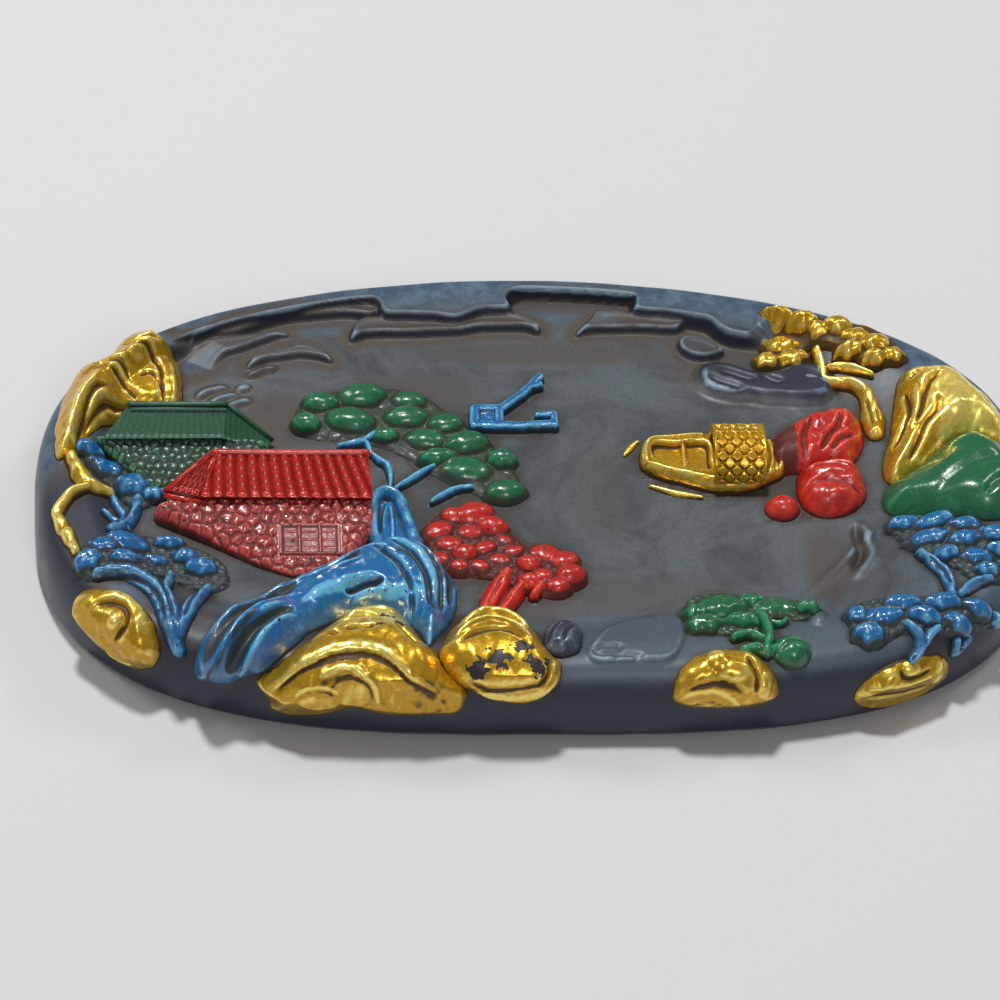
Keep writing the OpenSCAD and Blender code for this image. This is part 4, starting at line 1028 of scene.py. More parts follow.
# Gold pine at the right of the back rim: clumps of needles, ribbed like open fans, over a bent trunk.
# Both are cut from the block and painted gold, with dark wash and painted shade between the clumps.
def clumps(x, y, pads, high, power, spread, ribbed):
    """Clumps of foliage side by side: smooth cushions, or ribbed ones whose ribs fan out downwards."""
    h = np.full(len(x), -9.0)
    for i, (cx, cy, rx, ry) in enumerate(pads):
        rx, ry = rx * spread, ry * spread
        near = (np.abs(x - cx) < rx + 2) & (np.abs(y - cy) < ry + 2)
        px, py = x[near], y[near]
        tilt = math.radians(10 * math.sin(1.7 * i))
        u = ((px - cx) * math.cos(tilt) + (py - cy) * math.sin(tilt)) / rx
        v = ((py - cy) * math.cos(tilt) - (px - cx) * math.sin(tilt)) / ry
        edge = 1 + 0.02 * np.cos((5 + i % 3) * np.arctan2(v, u) + 1.7 * i)
        far = np.hypot(u, v) / edge
        ribs = np.cos(17 * np.arctan2(u, 1.5 - v) + i) * ribbed
        far = far / (1 + 0.05 * ribs * (v < 0.4))
        top = high * (1 + 0.15 * math.sin(2.4 * i))
        one = top * (1 - far**power) + 0.1 * ribs * np.clip(0.5 - v, 0, 1)
        h[near] = join(h[near], one, 0.12)
    return np.where(h > 0, h + 0.1 * ribbed * uneven(x, y, 0.6, 0.7), h)


def cobbles(x, y, size, high, flatten=1.0):
    """Rounded lumps laid side by side: highest in the middle of each, with narrow joints."""
    best = np.full(len(x), 9.0)
    second = np.full(len(x), 9.0)
    row = np.floor(y / (size * flatten))
    for dr in (-1, 0, 1):
        r = row + dr
        column = np.floor(x / size - 0.5 * (r % 2))
        for dc in (-1, 0, 1):
            c = column + dc
            mix = np.sin(12.9898 * c + 78.233 * r) * 43758.5453
            jitter = mix - np.floor(mix) - 0.5
            other = np.sin(39.3468 * c + 11.135 * r) * 24634.6345
            drift = other - np.floor(other) - 0.5
            cx = (c + 0.5 + 0.5 * (r % 2) + 0.55 * jitter) * size
            cy = (r + 0.5 + 0.55 * drift) * size * flatten
            away = np.hypot(x - cx, y - cy) / size
            second = np.where(away < best, best, np.minimum(second, away))
            best = np.minimum(best, away)
    gap = np.clip((second - best) / 0.4, 0, 1)
    return high * (gap * (2 - gap) - 0.5 + 0.6 * np.clip(0.4 - best, 0, 0.4))


def gold_pine(x, y):
    """A flat mass of needles with ribbed clumps on it."""
    h = body(x, y, [
        (39.5, 36), (43.1, 37.3), (48.1, 36.2), (53, 34.5), (57.9, 33.2), (61.9, 29.8), (63, 27.4),
        (60.9, 24.4), (57.2, 24.8), (53.3, 27.3), (50.2, 29.2), (47.4, 29.6), (45.9, 27.9), (41, 26.4),
        (38.8, 28.2), (40.2, 31.8),
    ], 1.6, 1.8)
    h = np.minimum(h, 1.3)
    return join(h, clumps(x, y, [
        (42.2, 35.2, 2.9, 1.9), (46.4, 34, 2.7, 1.9), (49, 32.2, 2.2, 1.7), (42.8, 30.6, 2.8, 2),
        (40.2, 27.6, 2.2, 1.5), (44.4, 28.2, 2.6, 1.7), (52.2, 32.6, 2.6, 1.9), (55.2, 30.4, 2.6, 1.9),
        (53.9, 27.8, 2.3, 1.5), (58.2, 28.6, 2.7, 1.9), (60.8, 26.2, 2.2, 1.6), (57.7, 25.6, 2.1, 1.4),
    ], 2.7, 2.6, 1.34, True), 0.3) + 0.08 * uneven(x, y, 1.2, 0.9)


def low_shade(high, much):
    """More wash colour where a piece stays low: old wash on the low mass, painted shade between clumps."""
    return lambda x, y, h: much * np.clip((high - h) / 0.8, 0, 1)


motif(
    "gold_pine_foliage", gold, "gold_paint", (37.5, 22.5), (65, 38.5), gold_pine,
    step=0.2, shade=low_shade(1.9, 0.8),
)
motif("gold_pine_trunk", gold, "gold_paint", (44.5, 9), (60.5, 31), limbs(0.3, [
    ([
        (48.6, 29), (49.2, 25.5), (49.3, 23.3), (51.2, 22.6), (53.9, 22), (55.8, 20.2), (56.6, 17.4),
        (56.8, 14.2), (56.8, 11.6),
    ], [1, 1.1, 1.2, 1.2, 1.3, 1.5, 1.8, 2.3, 1.8], 2.2),
    ([(46.6, 23.4), (49, 23)], [0.5, 0.8], 1.4),
    ([(50.4, 25.6), (53, 25.4), (55.5, 24.2), (57.3, 23)], [0.7, 1, 0.9, 0.5], 1.6),
], folds=[
    ([(55.9, 18), (56.3, 14.6), (56.4, 12)], 0.3, -0.5),
    ([(57.4, 16), (57.5, 13)], 0.25, -0.4),
], waves=[(0.12, 0.9, 0.5)]), step=0.22)


# Green hall at the back left: a tiled roof with thin slanting ribs and a glossy scalloped eave over a
# wall of small rounded stones; its right end slopes down to the bed.
green = paint(
    "green paint", (0.09, 0.37, 0.23), (0.2, 0.54, 0.38), (0.19, 0.2, 0.16), (0.15, 0.2, 0.2),
    amount=0.9, chips=0.2, gloss=0.14, coat=0.6, relief=0.13,
)
green_wash = paint(
    "green wash", (0.15, 0.3, 0.21), (0.3, 0.52, 0.38), (0.14, 0.15, 0.13), (0.16, 0.2, 0.2),
    amount=0.95, chips=0.4, gloss=0.16, coat=0.5,
)


def sheet(corners, across, deep, lift, thick):
    """A slab between four corners (front left, front right, back right, back left), raised by lift.
    Heights are over the bed."""
    a, b, c, d = (np.array(p, float) + (0, 0, bed_height) for p in corners)
    u, v = np.meshgrid(np.linspace(0, 1, across), np.linspace(0, 1, deep))
    s, t = u[..., None], v[..., None]
    base = (1 - t) * ((1 - s) * a + s * b) + t * ((1 - s) * d + s * c)
    normal = np.cross(b - a, d - a)
    normal = normal / np.linalg.norm(normal)
    raised = lift(u, v)
    return closed_sheet(base + normal * raised[..., None], base - normal * thick, raised)


def closed_sheet(top, under, raised):
    """A closed mesh between two grids of points, with wash where it is raised least."""
    deep, across = raised.shape
    n = across * deep
    i = np.arange(n).reshape(deep, across)
    a, b, c, d = (part.ravel() for part in (i[:-1, :-1], i[:-1, 1:], i[1:, 1:], i[1:, :-1]))
    faces = np.vstack([np.stack([a, b, c], -1), np.stack([a, c, d], -1)])
    ring = np.concatenate([i[0, :-1], i[:-1, -1], i[-1, :0:-1], i[:0:-1, 0]])
    after = np.roll(ring, -1)
    walls = np.vstack([
        np.stack([after, ring, ring + n], -1), np.stack([after, ring + n, after + n], -1)
    ])
    height = raised.ravel()
    points = np.vstack([top.reshape(-1, 3), under.reshape(-1, 3)])
    hollow = hollows(height, faces, 5, 0.2)
    return points, np.vstack([faces, faces[:, ::-1] + n, walls]), np.tile([hollow, 0 * hollow], 2)


def rod(points, radii, sides=14):
    """A round bar along a line of points, closed at both ends; heights are over the bed."""
    p = np.array(points, float) + (0, 0, bed_height)
    radii = np.broadcast_to(np.asarray(radii, float), len(p))
    along = np.gradient(p, axis=0)
    along = along / np.linalg.norm(along, axis=1, keepdims=True)
    side = np.cross(along, (0, 0, 1))
    side = side / np.maximum(np.linalg.norm(side, axis=1, keepdims=True), 1e-6)
    up = np.cross(side, along)
    angle = np.arange(sides) * 2 * math.pi / sides
    rings = [
        p[i] + radii[i] * (np.cos(angle)[:, None] * side[i] + np.sin(angle)[:, None] * up[i])
        for i in range(len(p))
    ]
    places = np.vstack(rings + [p[:1], p[-1:]])
    faces = []
    last = (len(p) - 1) * sides
    for k in range(sides):
        j = (k + 1) % sides
        for i in range(len(p) - 1):
            q = i * sides
            faces.append((q + k, q + j, q + sides + j))
            faces.append((q + k, q + sides + j, q + sides + k))
        faces.append((len(places) - 2, j, k))
        faces.append((len(places) - 1, last + k, last + j))
    little_wash, not_bare = -0.15, 0.0
    return places, np.array(faces), np.tile([[little_wash], [not_bare]], len(places))


def rolls(count, high, slant=0.0, scallop=0.0):
    """Rows of half-round tile rolls, thicker at the eave."""
    def lift(u, v):
        phase = (u + slant * v) * count % 1.0
        roll = np.clip(1 - np.abs((phase - 0.5) / 0.47) ** 2.6, 0, 1)
        joints = 0.06 * high * np.cos(v * 2 * math.pi * 6 + 2 * u * count)
        foot = np.exp(-((v / 0.07) ** 2))
        return high * roll * (1 + 0.35 * foot) + joints * roll + scallop * foot * (0.4 + 0.6 * roll)
    return lift


part_roof = sheet(
    [(-71, 5.7, 4.6), (-51.4, 5.9, 4.6), (-50.8, 10.4, 8), (-66.6, 10.4, 8)],
    240, 60, rolls(17, 0.07, 0.1, 0.36), 1.0,
)
part_back = sheet(
    [(-50.8, 11.6, 4.6), (-68, 11.6, 4.6), (-66.6, 10.2, 7.9), (-50.8, 10.2, 7.9)],
    60, 12, lambda u, v: 0 * u, 1.0,
)
part_ridge = rod(
    [(-67, 10.3, 8.35), (-66, 10.3, 8.1), (-60, 10.3, 8.05), (-54, 10.3, 8.1), (-50.6, 10.3, 8.2)],
    [0.45, 0.45, 0.4, 0.45, 0.45],
)
green_roof = paint(
    "green roof paint", (0.14, 0.33, 0.23), (0.2, 0.42, 0.3), (0.14, 0.22, 0.17), (0.15, 0.2, 0.2),
    amount=0.8, chips=0.2, gloss=0.3, coat=0.1,
)
build("green_hall_roof", [part_roof, part_back, part_ridge], green_roof)
part_hip = sheet(
    [(-51.8, 5.9, 4.6), (-44.4, 6.4, 1.2), (-43.2, 8.6, 1.2), (-50.8, 10.6, 8)],
    110, 60, rolls(8, 0.07, 0.15, 0.3), 1.0,
)
part_edge = rod(
    [(-50.8, 10.4, 8), (-48.4, 9.9, 5.8), (-45.8, 9.3, 3.5), (-43.2, 8.6, 1.3)],
    [0.4, 0.45, 0.45, 0.35],
)
build("green_hall_hip", [part_hip, part_edge], green_roof)


def slope_wall(x, y, outline, top_y, top_h, foot_y, foot_h):
    """A wall that leans back: highest under the eave and lower towards the foot."""
    climb = np.clip((y - foot_y) / (top_y - foot_y), 0, 1)
    h = foot_h + (top_h - foot_h) * climb
    edge = body(x, y, outline, 1.0, 1.6, 2.4)
    return np.where(edge > 0, h * np.sqrt(np.maximum(edge, 0)), edge * 2)


def green_wall(x, y):
    """The leaning wall of small rounded stones."""
    h = slope_wall(x, y, [
        (-71.6, 7.2), (-57, 7.5), (-47, 7.6), (-43.9, 6), (-47.1, 2.3), (-52, 0), (-56.4, -1.8),
        (-62.6, -2.2), (-66.4, 1.4), (-69.4, 4),
    ], 6.1, 3.9, -2, 0.8)
    return h + cobbles(x, y, 1.35, 0.5) * (h > 0.3)


motif(
    "green_hall_wall", green_wash, "washed_green_paint", (-73, -4), (-42, 8), green_wall,
    step=0.18, shade=lambda x, y, h: 0.12,
)


# Red house in front of it: a bigger roof of thick slanting tile rolls, a gable panel with a lattice
# at the left end, a beam with small drops under the eave, and a leaning wall of rounded stones.
red = paint(
    "red paint", (0.7, 0.12, 0.08), (0.86, 0.27, 0.19), (0.27, 0.12, 0.09), (0.24, 0.13, 0.12),
    amount=0.9, chips=0.22, gloss=0.14, coat=0.5,
)
red_wash = paint(
    "red wash", (0.55, 0.17, 0.15), (0.78, 0.32, 0.28), (0.3, 0.17, 0.15), (0.24, 0.18, 0.17),
    amount=0.95, chips=0.4, gloss=0.16, coat=0.5,
)
part_roof = sheet(
    [(-55.6, -7.1, 4.5), (-27.6, -7.3, 4.5), (-28.4, -1.2, 8.8), (-52.6, -1.2, 8.8)],
    330, 80, rolls(14, 0.62, 0.1, 0.3), 1.0,
)
part_back = sheet(
    [(-28.4, 0.9, 4.6), (-52.6, 0.9, 4.6), (-52.6, -1.4, 8.7), (-28.4, -1.4, 8.7)],
    120, 20, rolls(12, 0.3), 1.0,
)
part_ridge = rod(
    [(-53.6, -1.3, 9.05), (-52, -1.3, 8.95), (-41, -1.3, 8.85), (-29.6, -1.3, 8.95), (-28, -1.3, 9.05)],
    [0.5, 0.6, 0.6, 0.6, 0.5],
)
drops = [
    rod([(px, -7.35, 4.2), (px, -7.5, 3.3)], [0.42, 0.3], 10)
    for px in np.linspace(-55, -28.2, 16)
]
build("red_house_roof", [part_roof, part_back, part_ridge] + drops, red)


def gable_lattice(u, v):
    """Crossed laths inside a raised frame."""
    wide = u * 9
    per_lath = 2 * math.pi * 0.55
    bars = np.maximum(np.cos((wide + v * 5) * per_lath), np.cos((wide - v * 5) * per_lath))
    frame_edge = np.maximum.reduce([1 - u / 0.1, 1 - (1 - u) / 0.1, 1 - v / 0.14, 1 - (1 - v) / 0.14])
    return 0.5 * np.clip(frame_edge * 3, 0, 1) + 0.35 * np.clip((bars - 0.4) * 2.4, 0, 1)


part_gable = sheet(
    [(-60.8, -5.6, 4.4), (-55.8, -6.9, 4.4), (-52.8, -1.5, 8.9), (-53.6, -1, 8.9)],
    90, 80, gable_lattice, 0.8,
)
part_behind = sheet(
    [(-53, 0.9, 4.5), (-60.8, -5.5, 4.3), (-53.8, -1.2, 8.8), (-52.6, -1.1, 8.8)],
    40, 40, lambda u, v: 0 * u, 0.8,
)
part_left = rod([(-61.3, -5.7, 4.2), (-57.6, -3.6, 6.5), (-53.3, -1.3, 9)], 0.5)
part_right = rod([(-55.6, -7, 4.3), (-54.2, -4.2, 6.6), (-53, -1.4, 9)], 0.5)
part_beam = rod([(-61.2, -5.9, 3.9), (-58.4, -6.7, 3.8), (-55.4, -7.4, 3.8)], 0.6)
parts = [part_gable, part_behind, part_left, part_right, part_beam]
build("red_house_gable", parts, red)


window_x, window_y = -38, -14.2
wall_foot_y, wall_foot_height = -20.5, 0.9


def red_wall(x, y):
    """The leaning wall of rounded stones, left smooth where the window sits."""
    h = slope_wall(x, y, [
        (-62.6, -7.2), (-58, -5.6), (-50, -5.1), (-38, -5.1), (-28.4, -5.3), (-27.6, -11), (-30, -15.4),
        (-35, -19.2), (-40, -20.6), (-45, -18.9), (-50, -16.2), (-55, -13.2), (-59.6, -10.6), (-62.4, -9),
    ], -7.1, 4.0, wall_foot_y, wall_foot_height)
    stones = cobbles(x, y, 2.1, 0.6, 0.9) + 0.08 * uneven(x, y, 0.5, 1.1)
    window_part = (np.abs(x - window_x) < 5.4) & (np.abs(y - window_y) < 3.2)
    return h + np.where(window_part, -0.1, stones) * (h > 0.3)


motif(
    "red_house_wall", red_wash, "washed_red_paint", (-64.5, -23), (-26, -5), red_wall,
    step=0.19, deep=0.4,
)


def red_window(x, y):
    """A framed window of upright posts and thinner laths on the leaning wall."""
    u, v = (x - window_x) / 5, (y - window_y) / 2.8
    wall = wall_foot_height + 2.9 * np.clip((y - wall_foot_y) / 13.4, 0, 1)
    inside_it = np.minimum(1 - np.abs(u), 1 - np.abs(v))
    frame_edge = np.clip(1 - (inside_it - 0.02) / 0.14, 0, 1)
    posts = np.clip(1.4 - np.abs(np.sin(math.pi * 1.5 * (u + 1))) * 6, 0, 1)
    laths = np.clip(1 - np.abs(np.sin(math.pi * 2 * (v + 1))) * 4, 0, 1) * 0.5
    h = wall + 0.1 + 0.4 * np.maximum.reduce([np.clip(frame_edge * 2, 0, 1), posts, laths])
    return np.where(inside_it > 0, h, -1)


motif(
    "red_house_window", red_wash, "red_paint", (-43.6, -17.6), (-32.4, -10.8), red_window,
    step=0.16, deep=0.25, shade=lambda x, y, h: 0.2,
)


# Blue cliff in front of the red house: a thick glossy band of rock with dark oval slots, which runs up
# from the front left, over the top and down behind the small gold rock.
blue = paint(
    "blue paint", (0.06, 0.38, 0.6), (0.36, 0.66, 0.81), (0.19, 0.22, 0.22), (0.14, 0.16, 0.2),
    amount=0.98, chips=0.24, gloss=0.08, coat=0.9,
)


# Each long slot has its line, the half width of its cut and the half width of the old wash in it.
long_slots = [
    ([(-55.4, -38.8), (-51.4, -35.4), (-47.6, -31.3), (-43.6, -27.6), (-40.4, -26)], 1.05, 1.15),
    ([(-51.9, -40.4), (-48, -37.4), (-44.4, -34.4), (-41.4, -32.2)], 0.95, 1.0),
    ([(-43, -24.6), (-38.4, -22), (-33.7, -20), (-30, -18.4)], 0.9, 1.0),
    ([(-33, -26.6), (-29.6, -25.4), (-26.6, -25)], 0.6, 0.6),
]
right_folds = [
    [(-21, -13.8), (-17.8, -17), (-16, -21.8), (-16.4, -28.2)],
    [(-23.8, -13.8), (-19.9, -17.2), (-17.7, -22.8), (-17.9, -31)],
    [(-26.6, -14.6), (-22.6, -18), (-20, -23.5), (-19.6, -31)],
    [(-29, -16.6), (-25, -20), (-22.6, -25.2), (-22.2, -31)],
]
cliff_body = mound([
    (-59, -40.2), (-57, -37.7), (-55.3, -35), (-52.9, -31.5), (-48.6, -27), (-44.2, -23.2), (-39.7, -20.4),
    (-34.7, -17.6), (-30.4, -14.8), (-25.6, -12.8), (-22.4, -12.4), (-19.6, -13.9), (-17, -16.4),
    (-15.4, -19.7), (-14.6, -24), (-15.2, -28.7), (-18, -34.8), (-20.2, -37.8), (-22, -33), (-24.6, -30),
    (-28.7, -29), (-32.7, -29.4), (-36.8, -32.4), (-40.3, -36.9), (-43.6, -39.9), (-46.6, -41.5),
    (-50.5, -42), (-54, -42.6), (-57.5, -41.8),
], 5.2, 4.6, 2.0, folds=[
    (fold, 0.5, -1.2, 0.2) for fold in right_folds
], waves=[(0.2, 2.2, 2.6), (0.12, 0.9, 1.1)])


def cliff(x, y):
    """The cliff with its long slots, each between two low lips."""
    h = cliff_body(x, y)
    for slot, cut_width, _ in long_slots:
        h += swell(x, y, slot, cut_width, -2.0, 0.25)
        h += swell(x, y, [(px + 0.8, py - 1.5) for px, py in slot], 0.55, 0.5)
        h += swell(x, y, [(px - 0.8, py + 1.5) for px, py in slot], 0.55, 0.35)
    return h


def cliff_arch(x, y):
    """The loop of rock over the top of the cliff, with a web of rock in its lower part."""
    h = band(x, y, [
        (-26.8, -14.6), (-27.4, -10), (-27.5, -5.8), (-26.5, -3.1), (-24.8, -2.4), (-23.2, -3.8),
        (-22.3, -7), (-21.4, -11), (-20.6, -15),
    ], [1.6, 1.5, 1.4, 1.4, 1.4, 1.4, 1.5, 1.6, 1.8], 2.4)
    web = body(x, y, [(-26.6, -14), (-26.4, -5), (-24.8, -4), (-23.6, -5), (-22, -14)], 1.1, 1.2)
    h = join(h, web, 0.2)
    h += swell(x, y, [(-26.6, -13), (-26.3, -8), (-25.4, -5)], 0.4, -0.8)
    h += swell(x, y, [(-24.6, -14), (-24.4, -9), (-24.6, -5.6)], 0.35, 0.6)
    return h + 0.1 * uneven(x, y, 1, 0.2)


def cliff_wash_and_painted_light(x, y, h):
    """Old wash in the long slots and two right-hand folds, with painted shade streaks and painted highlight
    streaks.
    """
    dark = np.zeros(len(x))
    washed = [(slot, wash_width) for slot, _, wash_width in long_slots]
    for slot, wide in washed + [(right_folds[0], 0.6), (right_folds[1], 0.5)]:
        dark = np.maximum(dark, swell(x, y, slot, wide, 1.0, 0.12, crisp=4))
    # Painted shade: dark streaks down the right-hand folds and over the left end.
    for streak in (
        [(-26, -17.5), (-21.6, -20.5), (-19.4, -26.5), (-19.8, -34)],
        [(-22.9, -13.9), (-18.6, -18.9), (-16.4, -24.9)],
        [(-56.5, -41), (-49.9, -37), (-46.6, -33.7)],
    ):
        dark = np.maximum(dark, swell(x, y, streak, 0.5, 0.8, 0.2))
    # Painted highlight: pale streaks along the middle and down one right-hand fold.
    for streak, wide in (
        ([(-40.3, -30.6), (-36.9, -27.1), (-32.3, -25.8), (-25.8, -26.6), (-19.9, -27)], 0.9),
        ([(-34.9, -19.8), (-31.9, -17.4), (-27.4, -15.9)], 0.6),
        ([(-24.5, -15.5), (-20.9, -18.3), (-18.6, -22.8), (-17.7, -27.7)], 0.4),
    ):
        dark = dark - swell(x, y, streak, wide, 1.0)
    return dark


motif("blue_cliff", blue, "blue_paint", (-61, -45), (-12, -10), cliff, step=0.22, shade=cliff_wash_and_painted_light)
motif("blue_cliff_loop", blue, "blue_paint", (-31, -16.5), (-17, -0.2), cliff_arch, step=0.2)


# Green pine in the middle of the back: broad clumps of needles on short blue branches, left standing
# when the bed was ground out; the clumps are painted green and the branches blue.
def pine_mass(x, y):
    """The low dark mass of needles between and under the clumps."""
    h = body(x, y, [
        (-39.6, 12), (-37, 10), (-32, 9.4), (-27, 8.6), (-22, 6), (-17, 1.6), (-12, -1.6), (-7, -4.2),
        (-3, -3.6), (-3, 1), (-5, 6), (-9, 11), (-13, 15.4), (-18, 20), (-26, 22), (-34, 20.4),
        (-38.6, 17.4),
    ], 0.7, 2.0)
    return np.where(h > 0, h + cobbles(x, y, 2.4, 0.16) + 0.12 * uneven(x, y, 1.6, 0.4), h)


def green_pine(x, y):
    """Smooth clumps of needles on their low mass."""
    pads = clumps(x, y, [
        (-35, 17.4, 3.1, 2.1), (-28.2, 19, 4, 2.6), (-20.4, 18, 3.1, 2.1), (-30.3, 13.4, 4.1, 2.7),
        (-21, 14.2, 3.8, 2.3), (-14.7, 12.8, 3.1, 2.2), (-37.6, 12.6, 2.4, 1.9), (-18, 9.2, 3.7, 2.3),
        (-11.4, 8.4, 3.8, 2.5), (-16.2, 5, 3.2, 1.8), (-11.8, 2.6, 4.4, 2.8), (-5.9, 4.6, 2.5, 2),
        (-5.6, -2.2, 3.4, 2.3), (-24.6, 10, 2.2, 1.5),
    ], 2.9, 2.8, 1.2, False)
    return join(pine_mass(x, y), pads, 0.2) + 0.05 * uneven(x, y, 1.1, 1.9)


# low_shade lays the wash colour low between and below the clumps: old wash, and painted shade.
motif(
    "green_pine_foliage", green, "green_paint", (-41, -6), (-1, 24), green_pine,
    step=0.2, shade=low_shade(1.9, 0.9),
)
motif("blue_pine_branches", blue, "blue_paint", (-34, -6), (-9, 12.5), limbs(0.15, [
    ([(-32.4, 7.8), (-29.8, 8.6), (-27.9, 8.7), (-27.3, 6.2)], [0.5, 0.9, 0.9, 0.7], 1.7),
    ([(-27, 6), (-26, 4.8), (-24.6, 3.6), (-24.2, 1), (-24.4, -1.2)], [0.5, 0.85, 0.9, 0.7, 0.5], 1.7),
    ([
        (-23.4, -1.6), (-21.6, 0), (-20.2, 1.1), (-18.2, 2.7), (-15.9, 3.9),
    ], [0.5, 0.85, 0.9, 0.7, 0.5], 1.7),
    ([(-17.8, -4.6), (-15.6, -2.8), (-13.4, -1.6), (-11, -1.4)], [0.5, 0.85, 0.9, 0.7, 0.5], 1.7),
    ([(-28.4, 8.6), (-26.6, 10.4), (-24.4, 11)], [0.5, 0.85, 0.9, 0.7, 0.5], 1.7),
], waves=[(0.12, 0.8, 0.7)]), step=0.2)


# Blue pier behind the pine: a square frame of bars with two long arms, lying on the bed.
# It is a flat raised drawing, cut from the same block and painted blue.
def pier(x, y):
    """Flat-topped bars and the low deck inside the square frame."""
    h = np.full(len(x), -9.0)
    for line, wide in (
        ([(-9.8, 12.9), (-9.6, 16)], 1.1), ([(-9.6, 16.1), (-5.4, 16.2)], 0.9),
        ([(-5.6, 16.2), (-5.7, 12.6)], 1.0),
        ([(-9.8, 12.4), (-3, 12.3), (3.4, 12.7)], 0.95),
        ([(-5.2, 16.2), (-2.6, 18.6), (-0.6, 20.6), (1.6, 23.4)], 0.95),
        ([(-0.4, 20.8), (1.6, 21.6)], 0.7), ([(0.8, 14.6), (3.3, 14.8)], 0.7),
        ([(3.4, 14.8), (3.5, 12.4)], 0.8),
    ):
        h = np.maximum(h, band(x, y, line, wide, 1.9, 4))
    h = np.maximum(h, body(x, y, [(-9.8, 12.6), (-9.6, 16.2), (-5.6, 16.2), (-5.6, 12.6)], 1.1, 0.5))
    return h + 0.08 * uneven(x, y, 0.9, 1.4)


motif("blue_pier_frame", blue, "blue_paint", (-12, 10.5), (5.5, 25), pier, step=0.17)


# Blue trees at the left: an upper one with three layered clumps, and a lower one on a forked trunk.
# Both are cut from the rim; the leaves are a full glossy blue and the trunks a thinner wash.
blue_wash = paint(
    "blue wash", (0.1, 0.33, 0.52), (0.32, 0.58, 0.74), (0.16, 0.19, 0.21), (0.14, 0.16, 0.2),
    amount=1.0, chips=0.35, gloss=0.12, coat=0.7,
)


def foliage(outline, pads, high):
    """A low cobbled mass over an outline, with ribbed clumps of needles or leaves on it."""
    def field(x, y):
        mass = body(x, y, outline, 0.75, 1.2)
        mass = np.where(mass > 0, mass + cobbles(x, y, 1.5, 0.34, 0.8), mass)
        return join(mass, clumps(x, y, pads, high, 2.6, 1.22, True), 0.15) + 0.06 * uneven(x, y, 0.9, 2.1)
    return field


# low_shade lays the wash colour low between and below the clumps: old wash, and painted shade.
motif("blue_tree_left_foliage", blue, "blue_paint", (-75.5, -7.5), (-59, 10), foliage([
    (-72.5, 5.6), (-69.9, 8.6), (-66, 7), (-63.3, 3.8), (-60.6, 1), (-60.4, -2.6), (-62.8, -4.8),
    (-65.1, -5.8), (-67.6, -4.6), (-69.1, -1.8), (-72.5, 0.9), (-74, 2.6),
], [
    (-73, 4.7, 2.6, 1.8), (-69.4, 7, 2.2, 1.5), (-70.3, 2.3, 2.9, 2), (-66.2, -1.2, 2.7, 2.3),
    (-63, -3.2, 1.9, 1.4),
], 2.8), step=0.18, shade=low_shade(1.95, 0.85))
motif("blue_tree_left_trunk", blue_wash, "blue_paint", (-72, -14.5), (-62.5, -1), limbs(0.15, [
    ([(-65.4, -4), (-66, -6.6), (-67.4, -9.4), (-69.8, -12.4)], [1.2, 1.3, 1.5, 1], 1.9),
    ([(-69.6, -2.4), (-69, -5), (-67.6, -7.8)], [0.8, 1, 1], 1.5),
    ([(-70.8, -8.4), (-69, -9.8), (-67, -10.6)], [0.7, 1, 0.8], 1.4),
], folds=[
    ([(-66.4, -5), (-67.2, -8), (-69.2, -11.4)], 0.3, -0.6),
], waves=[(0.16, 0.8, 1.2)]), step=0.2)
# low_shade lays the wash colour low between and below the clumps: old wash, and painted shade.
motif("blue_tree_low_foliage", blue, "blue_paint", (-77, -25.5), (-49.5, -10), foliage([
    (-75.5, -20.2), (-75.1, -17.4), (-71.7, -14.2), (-65.9, -11.4), (-61.1, -12.5), (-55.6, -14.4),
    (-51.8, -17.6), (-51, -22), (-54, -24), (-58, -22.8), (-62, -21.4), (-66, -22.6), (-70.4, -23.8),
    (-74, -23.2),
], [
    (-60.6, -13.8, 2.6, 1.4), (-67.2, -15, 3.7, 2.4), (-71.2, -17, 2.8, 1.8), (-58, -17, 2.4, 1.5),
    (-73.4, -20, 2.3, 2.2), (-67.4, -19.2, 3.2, 1.7), (-55.6, -19.2, 2.7, 1.9), (-62.6, -18, 2, 1.4),
], 2.6), step=0.18, shade=low_shade(1.95, 0.85))
motif("blue_tree_low_trunk", blue_wash, "blue_paint", (-74.5, -40), (-51.5, -18.5), limbs(0.2, [
    ([
        (-71.8, -22.8), (-68, -22.4), (-64.6, -24), (-62, -27), (-60.7, -31.6), (-59.7, -36.8),
    ], [1.2, 1.6, 2, 2.3, 2.2, 1.3], 2.4),
    ([(-54.6, -23.6), (-56.4, -26.9), (-57.9, -30.7), (-59.4, -35)], [1, 1.4, 1.5, 1.2], 2.1),
    ([(-60.4, -21), (-61, -24), (-61.8, -27)], [0.8, 1.1, 1.2], 2),
], folds=[
    ([(-69, -23.4), (-65.4, -24.6), (-62.6, -28), (-61.4, -33)], 0.4, -0.9),
    ([(-62.8, -23.4), (-61.4, -27.4), (-60.2, -33)], 0.4, -0.9),
    ([(-56, -24.8), (-57.4, -28.6), (-58.6, -33)], 0.4, -0.9),
], waves=[(0.14, 0.8, 3.2)]), step=0.2)


